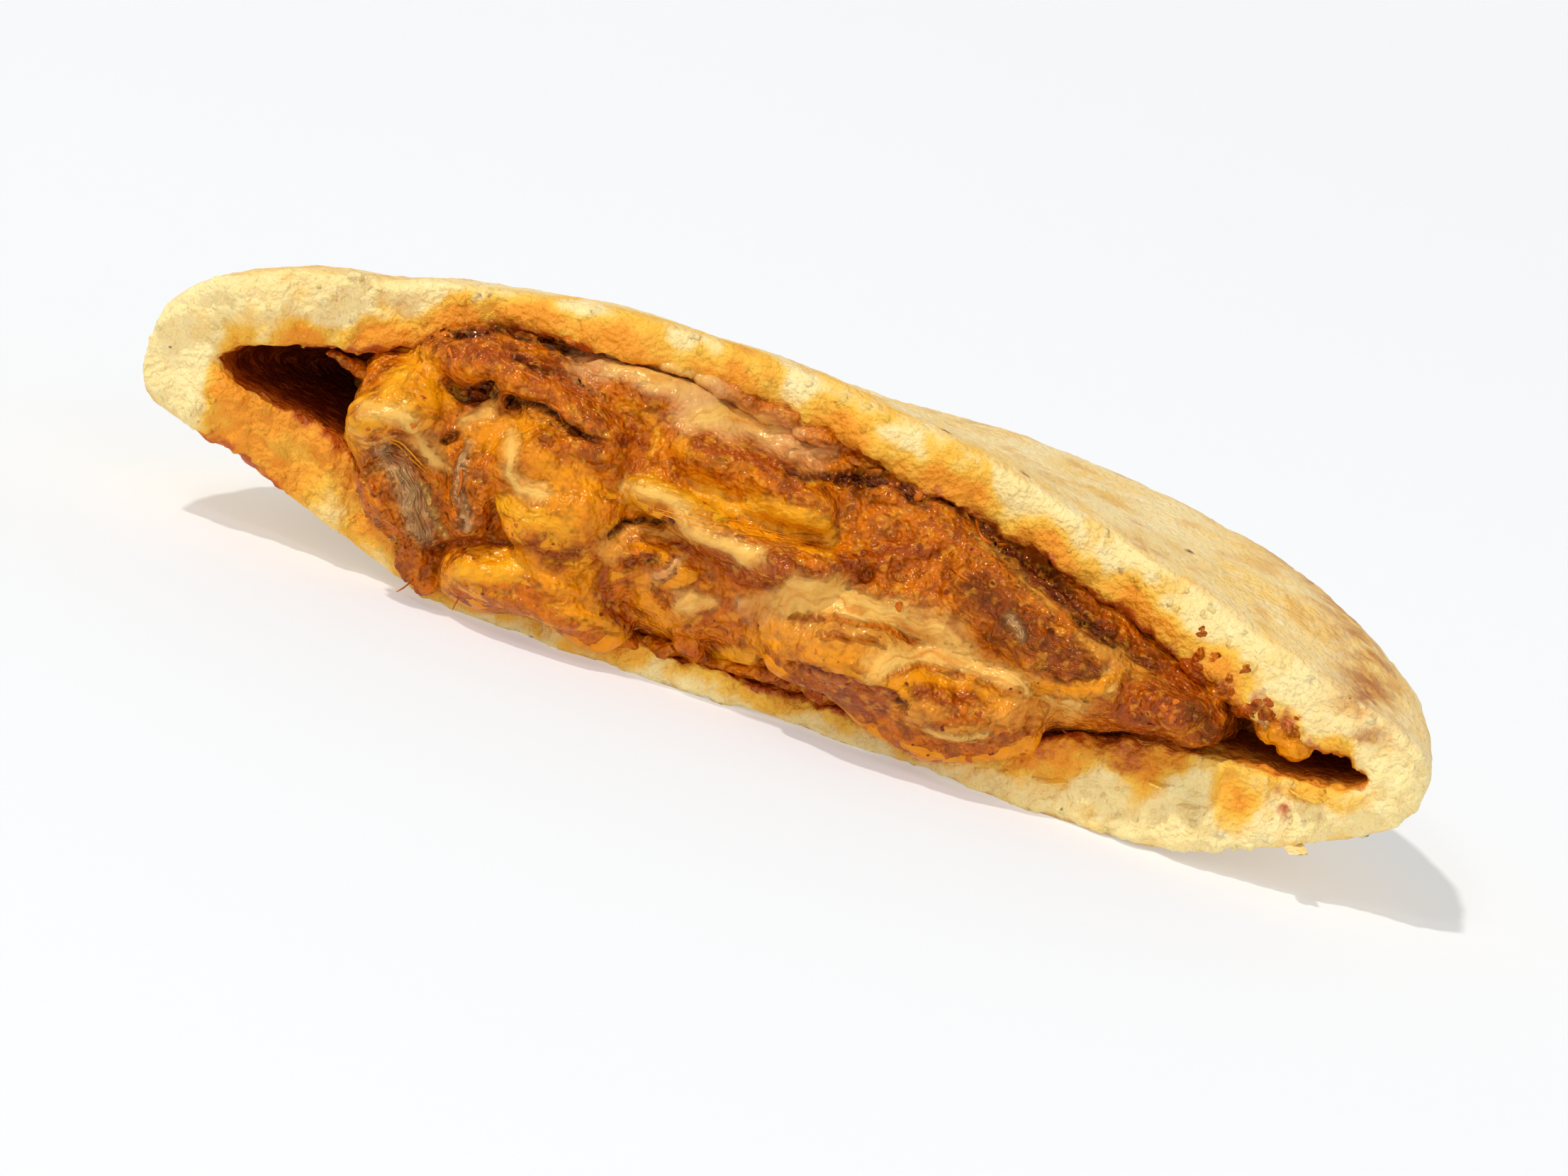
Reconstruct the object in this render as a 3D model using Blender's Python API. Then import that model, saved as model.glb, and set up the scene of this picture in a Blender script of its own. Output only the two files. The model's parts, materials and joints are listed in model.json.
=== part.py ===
"""Half of a stuffed pupusa, broken across the middle: a masa crust round a stewed beef and cheese filling.

The half lies on its flat underside. +X runs along the broken face, -Y points out of it and +Z is up.
Sizes are in metres. Heights are above the table, and depths are measured from the plane of the break.
"""

import math

import bmesh
import bpy
import numpy as np
from mathutils import Vector, noise

MM = 0.001

# The half as a whole
HALF_WIDTH = 58 * MM  # from the middle of the break to either tip
DEPTH = 55 * MM  # from the break to the back of the rim
BREAK_Y = -25 * MM  # where the plane of the break lies in the part's own frame
RIM_HEIGHT = 12.5 * MM  # height of the widest line of the rim
CROWN_HEIGHT = 22.6 * MM  # top of the crust, away from the break
GAPE_REACH = 21 * MM  # how far back the top stays lifted by the filling
HOLLOW_DEPTH = 48 * MM  # from the break to the back of the hollow
FLAT_SINK = 0.35 * MM  # presses the middle of the underside flat on the table
MOUTH_REACH = 12 * MM  # how far the hollow's cutter runs out of the break
GAP = 0.35 * MM  # clearance between neighbouring solids
THINNEST = 0.3 * MM  # least height of the filling at the back of the hollow
TIP_INSET = 10  # gaps by which a shrunk hollow is shorter at each tip, where its floor and roof meet

# The outline of the broken face, as (distance along the break, height) in millimetres
TOP_OUTSIDE = ((-58, 12.5), (-57.4, 17.4), (-53, 22.0), (-46, 24.6), (-38, 26.4), (-26, 29.0), (-16, 30.1), (-6, 30.0),
               (6, 28.9), (18, 26.8), (28, 24.2), (38, 21.2), (48, 18.4), (55, 16.2), (57.6, 14.2), (58, 12.5))
BOTTOM_OUTSIDE = ((-58, 12.5), (-57, 9.8), (-53.5, 8.2), (-48.5, 6.9), (-44.5, 5.5), (-38, 3.2), (-31, 0.9), (-26, 0.0),
                  (34, 0.0), (40, 0.9), (45, 2.8), (50, 4.8), (55, 7.0), (57.5, 9.8), (58, 12.5))
TOP_INSIDE = ((-52, 14.6), (-49.5, 16.9), (-44, 18.3), (-38, 19.6), (-33, 22.4), (-29, 24.8), (-22, 25.6), (-10, 26.0),
              (0, 24.7), (8, 23.4), (16, 21.8), (24, 19.5), (33, 16.6), (39, 14.2), (45, 12.7), (50, 12.5), (54, 11.2))
BOTTOM_INSIDE = ((-52, 14.6), (-50, 13.0), (-45, 12.2), (-39, 10.8), (-34, 6.4), (-28, 3.4), (-14, 2.8), (2, 2.7),
                 (14, 3.2), (22, 4.8), (30, 7.6), (38, 9.4), (46, 9.5), (51, 9.9), (54, 11.2))
HOLLOW_ENDS = (TOP_INSIDE[0][0] * MM, TOP_INSIDE[-1][0] * MM)

# How full the crust stays out towards the rim, on top and underneath
CROWN_POWER = 5.2
UNDERSIDE_POWER = 6.0

# How far each lip is torn back (+) or left standing out (-), along the break, in millimetres
TOP_LIP = ((-58, 0.0), (-46, -0.6), (-34, 0.8), (-20, -0.6), (-4, 0.5), (10, -0.4), (22, 1.2), (34, 0.6), (46, -0.8), (58, 0.0))
BOTTOM_LIP = ((-58, 0.0), (-46, 1.6), (-34, 1.8), (-24, 0.2), (-8, -0.6), (10, 0.2), (24, -1.2), (38, -2.6), (50, -1.4), (58, 0.0))
CRAG_HEIGHT = 1.3 * MM
CRAG_SIZE = 4.5 * MM

# The empty pockets at the two ends of the filling: where each starts, and how deep it goes
LEFT_POCKET_X = -38.5 * MM
LEFT_POCKET_DEPTH = 19 * MM
RIGHT_POCKET_X = 39 * MM
RIGHT_POCKET_DEPTH = 12 * MM
POCKET_SLOPE = 2.4 * MM
STEW_ENDS = (-43 * MM, 46 * MM)

# The stew's own front: a belly between the lips, with ridges of sauce along it
STEW_BELLY = 3.2 * MM
STEW_TOP_RECESS = 2.4 * MM
STEW_FOOT_RECESS = 0.4 * MM
STEW_LUMP = 0.7 * MM
STEW_LUMP_SIZE = 5 * MM
SAUCE_RIDGES = (  # both ends as (along, height) in millimetres, then the ridge's height and half width
    ((-8, 8.5), (6, 13.5), 1.6, 2.6),
    ((6, 13.5), (15, 15.5), 1.8, 3.0),
    ((4, 20.6), (15, 19.2), 1.4, 1.6),
    ((-8, 4.4), (0, 4.8), 1.8, 2.0),
    ((29, 11.0), (35, 11.4), 1.4, 1.8),
)

# What lies in the stew and shows at its front. Each is a soft lump along a path on the broken face:
# name, kind, path as (along, height), half width, how far it stands out of the stew, and how far it runs in.
LUMPS = (
    ("beef_flap", "beef", ((-35.0, 20.4), (-28.5, 22.0), (-21.5, 20.8), (-14.6, 17.2)), 2.6, 2.6, 5),
    ("beef_chunk", "beef", ((-34.6, 12.0), (-32.0, 8.8), (-29.8, 5.4)), 3.0, 2.4, 5),
    ("beef_strip", "beef", ((-27.4, 15.0), (-26.6, 11.2), (-25.6, 7.6)), 1.8, 2.2, 4),
    ("beef_mass", "beef", ((14.0, 18.0), (20.5, 16.0), (26.5, 13.6), (31.5, 12.2)), 3.1, 2.6, 6),
    ("beef_ribbon", "beef", ((2.6, 22.2), (11.0, 21.0), (19.4, 18.8)), 1.2, 1.8, 5),
    ("cheese_lobe", "cheese", ((-38.0, 12.6), (-36.4, 15.2), (-34.4, 17.2), (-31.4, 16.4)), 2.1, 3.0, 4),
    ("cheese_bulge", "cheese", ((-24.6, 16.4), (-20.2, 13.4), (-14.2, 11.6)), 4.6, 3.4, 8),
    ("cheese_slab", "cheese", ((-20.2, 23.5), (-14.0, 23.6), (-8.0, 22.8)), 1.9, 2.0, 7),
    ("cheese_blob", "cheese", ((-11.6, 19.6), (-6.6, 20.3), (-0.6, 19.8), (4.4, 18.6)), 1.8, 2.6, 5),
    ("cheese_band", "cheese", ((-14.4, 16.0), (-7.2, 15.4), (-0.4, 14.4), (7.0, 15.8)), 1.9, 2.8, 8),
    ("cheese_curl", "cheese", ((-13.2, 5.9), (-13.8, 8.6), (-10.6, 11.0), (-6.4, 10.6)), 1.5, 2.6, 4),
    ("cheese_roll", "cheese", ((-28.2, 4.2), (-19.6, 4.9), (-11.2, 3.4)), 2.9, 4.8, 6),
    ("cheese_swirl", "cheese", ((-0.6, 7.6), (7.4, 9.0), (14.0, 7.6), (19.4, 6.6), (26.0, 10.0)), 4.4, 4.8, 9),
    ("cheese_tail", "cheese", ((31.6, 14.2), (35.0, 12.8), (38.4, 11.9)), 1.1, 1.6, 4),
)

STATIONS = 46
RUN_STEPS = 9
FACE_STEPS = 7
STEW_STATIONS = 40
LUMP_RINGS = 11
LUMP_SIDES = 10

MASA_CREAM = (0.80, 0.62, 0.33)
STEW_RUST = (0.42, 0.13, 0.02)
BEEF_BROWN = (0.27, 0.13, 0.06)
CHEESE_GOLD = (0.86, 0.52, 0.14)


def clear_scene():
    for obj in list(bpy.data.objects):
        bpy.data.objects.remove(obj)


def material(name, colour, roughness):
    made = bpy.data.materials.new(name)
    made.use_nodes = True
    shader = made.node_tree.nodes["Principled BSDF"]
    shader.inputs["Base Color"].default_value = (*colour, 1)
    shader.inputs["Roughness"].default_value = roughness
    shader.inputs["Metallic"].default_value = 0.0
    return made


def curve_through(points):
    """A smooth function through points given in millimetres, with no overshoot between them."""
    x, z = np.array(points, float).T * MM
    slope = np.diff(z) / np.diff(x)
    tangent = np.concatenate([slope[:1], np.zeros(len(slope) - 1), slope[-1:]])
    for i in range(1, len(slope)):
        before, after = slope[i - 1], slope[i]
        if before * after > 0:
            tangent[i] = 2 * before * after / (before + after)

    def value(at):
        i = int(np.clip(np.searchsorted(x, at) - 1, 0, len(slope) - 1))
        span = x[i + 1] - x[i]
        t = min(max((at - x[i]) / span, 0.0), 1.0)
        return (
            z[i] * (1 + 2 * t) * (1 - t) ** 2
            + z[i + 1] * t * t * (3 - 2 * t)
            + span * t * (1 - t) * (tangent[i] * (1 - t) - tangent[i + 1] * t)
        )

    return value


top_outside = curve_through(TOP_OUTSIDE)
bottom_outside = curve_through(BOTTOM_OUTSIDE)
top_inside = curve_through(TOP_INSIDE)
bottom_inside = curve_through(BOTTOM_INSIDE)
top_lip = curve_through(TOP_LIP)
bottom_lip = curve_through(BOTTOM_LIP)


def smooth_step(low, high, at):
    t = min(max((at - low) / (high - low), 0.0), 1.0)
    return t * t * (3 - 2 * t)


def rim_depth(x):
    """How far back the rim lies at x."""
    return DEPTH * math.sqrt(max(1 - (x / HALF_WIDTH) ** 2, 0.0))


def out_from_middle(x, y):
    """0 at the middle of the break, 1 on the rim's outline."""
    return min(math.hypot(x / HALF_WIDTH, max(y, 0.0) / DEPTH), 1.0)


def rounded(share, power):
    """A crust's profile from the middle, 1, out to the rim, 0."""
    return math.sqrt(max(1 - share**power, 0.0))


def crown(x, y):
    return RIM_HEIGHT + (CROWN_HEIGHT - RIM_HEIGHT) * rounded(out_from_middle(x, y), CROWN_POWER)


def underside(x, y):
    height = RIM_HEIGHT * (1 - rounded(out_from_middle(x, y), UNDERSIDE_POWER))
    return max(height - FLAT_SINK, 0.0)


def near_break(x, y):
    """1 at the break, fading to 0 where the crust takes its usual shape, at the latest on the rim."""
    inward = max(y, 0.0)
    return math.exp(-((inward / GAPE_REACH) ** 2)) * max(1 - (inward / rim_depth(x)) ** 2, 0.0)


def outer_top(x, y):
    return crown(x, y) + (top_outside(x) - crown(x, 0.0)) * near_break(x, y)


def outer_bottom(x, y):
    return max(underside(x, y) + (bottom_outside(x) - underside(x, 0.0)) * near_break(x, y), 0.0)


def hollow_back(x):
    """How far back the hollow reaches at x."""
    end = HOLLOW_ENDS[0] if x < 0 else HOLLOW_ENDS[1]
    return max(HOLLOW_DEPTH * math.sqrt(max(1 - (x / end) ** 2, 0.0)), 0.6 * MM)


def hollow(x, y):
    """The hollow's (floor, roof) heights, which close together towards its back."""
    floor, roof = bottom_inside(x), top_inside(x) - (top_outside(x) - outer_top(x, y))
    roof = max(roof, floor)
    middle = (floor + roof) / 2
    closing = rounded(min(max(y, 0.0) / hollow_back(x), 1.0), 4.0)
    return middle + (floor - middle) * closing, middle + (roof - middle) * closing


def crag(x, z, side):
    return CRAG_HEIGHT * noise.noise(Vector((x, side, z)) / CRAG_SIZE)


def stations(low, high, count=STATIONS):
    """Places along the break, closer together towards the tips, without the tips themselves."""
    middle, half = (low + high) / 2, (high - low) / 2
    return [middle - half * math.cos(math.pi * i / count) for i in range(1, count)]


def solid_from_rings(name, rings, tips, finish):
    """One closed solid from equal rings of points between two tip points."""
    mesh = bmesh.new()
    rows = [[mesh.verts.new(point) for point in ring] for ring in rings]
    ends = [mesh.verts.new(point) for point in tips]
    count = len(rows[0])
    for i in range(count):
        j = (i + 1) % count
        mesh.faces.new((ends[0], rows[0][j], rows[0][i]))
        mesh.faces.new((ends[1], rows[-1][i], rows[-1][j]))
        for near, far in zip(rows, rows[1:]):
            mesh.faces.new((near[i], near[j], far[j], far[i]))
    bmesh.ops.recalc_face_normals(mesh, faces=mesh.faces)
    data = bpy.data.meshes.new(name)
    mesh.to_mesh(data)
    mesh.free()
    data.shade_smooth()
    data.materials.append(finish)
    obj = bpy.data.objects.new(name, data)
    obj.location.y = BREAK_Y
    bpy.context.scene.collection.objects.link(obj)
    return obj


def as_cutter(obj):
    obj.hide_render = True
    obj.display_type = "WIRE"
    return obj


def subtract(obj, cutter):
    cut = obj.modifiers.new("cut " + cutter.name, "BOOLEAN")
    cut.operation = "DIFFERENCE"
    cut.solver = "EXACT"
    cut.use_self = True
    cut.object = cutter


def crust_ring(x, grow):
    """Round the half at x: back along the underside, forward over the top and down the broken face."""
    back = rim_depth(x) + grow
    low_lip = bottom_lip(x) + crag(x, outer_bottom(x, 0.0), 1.0) - grow
    high_lip = top_lip(x) + crag(x, outer_top(x, 0.0), 1.0) - grow
    ring = []
    for i in range(RUN_STEPS + 1):
        y = low_lip + (back - low_lip) * math.sin(math.pi / 2 * i / RUN_STEPS)
        ring.append((x, y, outer_bottom(x, y) - grow))
    for i in range(RUN_STEPS - 1, -1, -1):
        y = high_lip + (back - high_lip) * math.sin(math.pi / 2 * i / RUN_STEPS)
        ring.append((x, y, outer_top(x, y) + grow))
    low, high = ring[0][2], ring[-1][2]
    for i in range(FACE_STEPS - 1, 0, -1):
        share = i / FACE_STEPS
        z = low + (high - low) * share
        y = low_lip + (high_lip - low_lip) * smooth_step(0, 1, share)
        ring.append((x, y + crag(x, z, 5.0), z))
    return ring


def crust_block(name, finish, grow=0.0):
    places = stations(-HALF_WIDTH, HALF_WIDTH)
    tips = [(side * (HALF_WIDTH + grow), 0.0, RIM_HEIGHT) for side in (-1, 1)]
    return solid_from_rings(name, [crust_ring(x, grow) for x in places], tips, finish)


def inside_hollow(x, y, shrink):
    """The (floor, roof) heights of what fills the hollow with this clearance."""
    floor, roof = hollow(x, y)
    middle = (floor + roof) / 2
    half = max((roof - floor) / 2 - shrink, THINNEST / 2)
    return middle - half, middle + half


def hollow_ring(x, shrink, start, front):
    """Round the hollow at x: back along its floor, forward under its roof, then down the front points."""
    back = hollow_back(x) - shrink
    depths = [start + (back - start) * math.sin(math.pi / 2 * i / RUN_STEPS) for i in range(RUN_STEPS + 1)]
    floor = [(x, y, inside_hollow(x, y, shrink)[0]) for y in depths]
    roof = [(x, y, inside_hollow(x, y, shrink)[1]) for y in reversed(depths[:-1])]
    return floor + roof + front


def hollow_block(name, finish, shrink=0.0):
    """The hollow as a cutter: it runs out through the break, so that it opens the crust's mouth."""
    low, high = HOLLOW_ENDS[0] + TIP_INSET * shrink, HOLLOW_ENDS[1] - TIP_INSET * shrink
    rings = []
    for x in stations(low, high):
        floor, roof = hollow(x, 0.0)
        front = [(x, -MOUTH_REACH, roof - shrink), (x, -MOUTH_REACH, floor + shrink)]
        rings.append(hollow_ring(x, shrink, 0.0, front))
    tips = [(x, -MOUTH_REACH / 2, (bottom_inside(x) + top_inside(x)) / 2) for x in (low, high)]
    return solid_from_rings(name, rings, tips, finish)


def masa_crust(finish):
    crust = crust_block("masa_crust", finish)
    subtract(crust, as_cutter(hollow_block("hollow_cutter", finish)))
    return crust


def crust_with_clearance(finish):
    """The crust grown by the gap on every side, for cutting the lumps that hang over its lips."""
    grown = crust_block("grown_crust", finish, GAP)
    subtract(grown, as_cutter(hollow_block("shrunk_hollow_cutter", finish, GAP)))
    return as_cutter(grown)


def ridge_height(x, z):
    total = 0.0
    for start, end, height, half_width in SAUCE_RIDGES:
        a, b, at = Vector(start) * MM, Vector(end) * MM, Vector((x, z))
        share = min(max((at - a).dot(b - a) / (b - a).length_squared, 0.0), 1.0)
        away = (at - a - (b - a) * share).length / (half_width * MM)
        total += height * MM * math.exp(-(away**2))
    return total


def stew_front(x, z):
    """How deep the stew's front lies at a place on the broken face; less than 0 stands out of the mouth."""
    floor, roof = hollow(x, 0.0)
    share = min(max((z - floor) / max(roof - floor, MM), 0.0), 1.0)
    edge = STEW_FOOT_RECESS + (STEW_TOP_RECESS - STEW_FOOT_RECESS) * smooth_step(0.3, 1.0, share)
    swell = math.sin(math.pi * share) ** 0.8
    lump = STEW_LUMP * noise.noise(Vector((x, 0.0, z)) / STEW_LUMP_SIZE)
    front = edge + (lump - STEW_BELLY - edge - ridge_height(x, z)) * swell
    left = smooth_step(0.0, 1.0, (LEFT_POCKET_X - x) / POCKET_SLOPE)
    right = smooth_step(0.0, 1.0, (x - RIGHT_POCKET_X) / POCKET_SLOPE)
    front += (LEFT_POCKET_DEPTH - front) * left
    return front + (RIGHT_POCKET_DEPTH - front) * right


def stew(finish):
    """The stewed beef and sauce that fills the crust from the break to the back of the hollow."""
    rings = []
    for x in stations(*STEW_ENDS, STEW_STATIONS):
        floor, roof = hollow(x, 0.0)
        front = []
        for i in range(FACE_STEPS, -1, -1):
            share = i / FACE_STEPS
            y = stew_front(x, floor + (roof - floor) * share)
            low, high = inside_hollow(x, y, GAP)
            front.append((x, y, low + (high - low) * share))
        rings.append(hollow_ring(x, GAP, front[0][1], front[1:-1]))
    tips = []
    for x, depth in zip(STEW_ENDS, (LEFT_POCKET_DEPTH, RIGHT_POCKET_DEPTH)):
        y = (depth + hollow_back(x)) / 2
        tips.append((x, y, sum(hollow(x, y)) / 2))
    return solid_from_rings("stew", rings, tips, finish)


def spline(points, count):
    """Points spread along a smooth curve through the given ones."""
    p = [Vector(point) * MM for point in points]
    p = [p[0] * 2 - p[1], *p, p[-1] * 2 - p[-2]]
    spread = []
    for k in range(count):
        at = k / (count - 1) * (len(p) - 3)
        i = min(int(at), len(p) - 4)
        t = at - i
        a, b, c, d = p[i : i + 4]
        spread.append(0.5 * (2 * b + (c - a) * t + (2 * a - 5 * b + 4 * c - d) * t**2 + (3 * b - a - 3 * c + d) * t**3))
    return spread


def lump(name, finish, path, half_width, proud, run_in, grow=0.0):
    """A soft lump lying along a path on the broken face, partly sunk in the stew."""
    spots = spline(path, LUMP_RINGS + 2)
    rings = []
    for i in range(1, LUMP_RINGS + 1):
        along = (spots[i + 1] - spots[i - 1]).normalized()
        across = Vector((along.y, -along.x))
        full = (1 - abs(2 * i / (LUMP_RINGS + 1) - 1) ** 3) ** 0.5
        depth = stew_front(*spots[i])
        ring = []
        for k in range(LUMP_SIDES):
            turn = 2 * math.pi * k / LUMP_SIDES
            reach = proud if math.sin(turn) > 0 else run_in
            wave = 1 + 0.10 * noise.noise(Vector((*spots[i], turn)) / STEW_LUMP_SIZE)
            side = (half_width * MM * full * wave + grow) * math.cos(turn)
            out = (reach * MM * full * wave + grow) * math.sin(turn)
            ring.append((spots[i].x + across.x * side, depth - out, spots[i].y + across.y * side))
        rings.append(ring)
    tips = []
    for tip, before in ((spots[0], spots[1]), (spots[-1], spots[-2])):
        end = tip + (tip - before).normalized() * grow
        tips.append((end.x, stew_front(*tip), end.y))
    return solid_from_rings(name, rings, tips, finish)


def near(a, b):
    """Whether two lumps' paths come close enough for the lumps to touch."""
    reach = (a[3] + b[3] + 1) * MM
    return any((p - q).length < reach for p in spline(a[2], LUMP_RINGS) for q in spline(b[2], LUMP_RINGS))


def filling(finishes, grown_crust):
    """The stew and the lumps in it, each cut back by the gap from those before it."""
    sockets = bpy.data.collections.new("sockets")
    bpy.context.scene.collection.children.link(sockets)
    cutters = []
    for row in LUMPS:
        name, kind, path, *sizes = row
        made = lump(name, finishes[kind], path, *sizes)
        subtract(made, grown_crust)
        for earlier, cutter in cutters:
            if near(row, earlier):
                subtract(made, cutter)
        cutter = as_cutter(lump(name + "_cutter", finishes[kind], path, *sizes, grow=GAP))
        sockets.objects.link(cutter)
        cutters.append((row, cutter))
    cut = stew(finishes["stew"]).modifiers.new("sockets", "BOOLEAN")
    cut.operation = "DIFFERENCE"
    cut.operand_type = "COLLECTION"
    cut.collection = sockets


def main():
    clear_scene()
    crust_finish = material("masa", MASA_CREAM, 0.6)
    finishes = {
        "stew": material("stew", STEW_RUST, 0.3),
        "beef": material("beef", BEEF_BROWN, 0.35),
        "cheese": material("cheese", CHEESE_GOLD, 0.3),
    }
    masa_crust(crust_finish)
    filling(finishes, crust_with_clearance(crust_finish))


main()
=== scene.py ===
"""Half of a stuffed pupusa: a griddled masa crust round a glossy stew of shredded beef and melted cheese.

Laid out as an add-on and run as a script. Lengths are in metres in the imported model's frame: +X runs
along the broken face, -Y points out of it and +Z is up. Places on the broken face are (along, height) in
millimetres.
"""

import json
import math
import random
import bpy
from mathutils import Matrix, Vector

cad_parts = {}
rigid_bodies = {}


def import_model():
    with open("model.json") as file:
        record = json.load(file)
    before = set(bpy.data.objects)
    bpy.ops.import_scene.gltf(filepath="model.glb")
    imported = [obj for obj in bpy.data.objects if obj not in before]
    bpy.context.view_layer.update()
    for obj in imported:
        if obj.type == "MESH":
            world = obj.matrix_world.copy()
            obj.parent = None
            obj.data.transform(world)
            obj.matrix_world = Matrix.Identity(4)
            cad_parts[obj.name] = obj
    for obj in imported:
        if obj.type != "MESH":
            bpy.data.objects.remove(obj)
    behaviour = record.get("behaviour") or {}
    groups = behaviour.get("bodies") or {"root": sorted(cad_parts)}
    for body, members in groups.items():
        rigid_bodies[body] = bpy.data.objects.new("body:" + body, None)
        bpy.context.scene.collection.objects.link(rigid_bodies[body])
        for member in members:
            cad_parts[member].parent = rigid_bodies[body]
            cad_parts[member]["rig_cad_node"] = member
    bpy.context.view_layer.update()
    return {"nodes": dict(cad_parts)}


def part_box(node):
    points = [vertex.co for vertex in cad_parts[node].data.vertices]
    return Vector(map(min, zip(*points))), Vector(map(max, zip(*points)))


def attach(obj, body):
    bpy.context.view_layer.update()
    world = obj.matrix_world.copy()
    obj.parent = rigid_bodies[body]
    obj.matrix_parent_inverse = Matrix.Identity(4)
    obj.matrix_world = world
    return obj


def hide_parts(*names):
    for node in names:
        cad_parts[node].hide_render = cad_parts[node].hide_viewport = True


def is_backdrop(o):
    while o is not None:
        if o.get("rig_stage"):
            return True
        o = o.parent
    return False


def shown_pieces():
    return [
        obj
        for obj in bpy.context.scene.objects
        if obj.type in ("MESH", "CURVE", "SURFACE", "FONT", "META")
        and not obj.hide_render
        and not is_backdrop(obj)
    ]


bl_info = {
    "name": "Stuffed Pupusa Half",
    "version": (1, 0, 0),
    "blender": (4, 5, 0),
    "location": "3D View > Sidebar > Pupusa",
    "description": "Builds the crust, filling, shreds and crumbs of half a stuffed pupusa",
    "category": "Add Mesh",
}

import bpy
import numpy as np
from mathutils import Matrix, Vector, noise
from mathutils.bvhtree import BVHTree
from mathutils.kdtree import KDTree

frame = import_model()

MM = 0.001
BODY = "root"
TAB = "Pupusa"
BREAK_Y = -25 * MM  # the plane of the break
MERGE = 1e-6
UP = Vector((0, 0, 1))
FILLING_NODES = tuple(sorted(name for name in frame["nodes"] if name != "masa_crust"))
CRUST_LOW, CRUST_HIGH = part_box("masa_crust")
HALF_WIDTH = (CRUST_HIGH.x - CRUST_LOW.x) / 2
DEPTH = CRUST_HIGH.y - BREAK_Y
RIM_HEIGHT = 12.5 * MM  # where the crust is widest, and its top and bottom meet
LOOSE_POINTS = 200  # a remeshed piece keeps no island with fewer points

CHEESE_NODES = tuple(name for name in FILLING_NODES if name.startswith("cheese"))
BEEF_NODES = tuple(name for name in FILLING_NODES if name.startswith("beef"))
# How far a place seems to shift along and up for each length that it lies behind the break, looked down on
SLANT = (0.105, 0.223)
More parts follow.
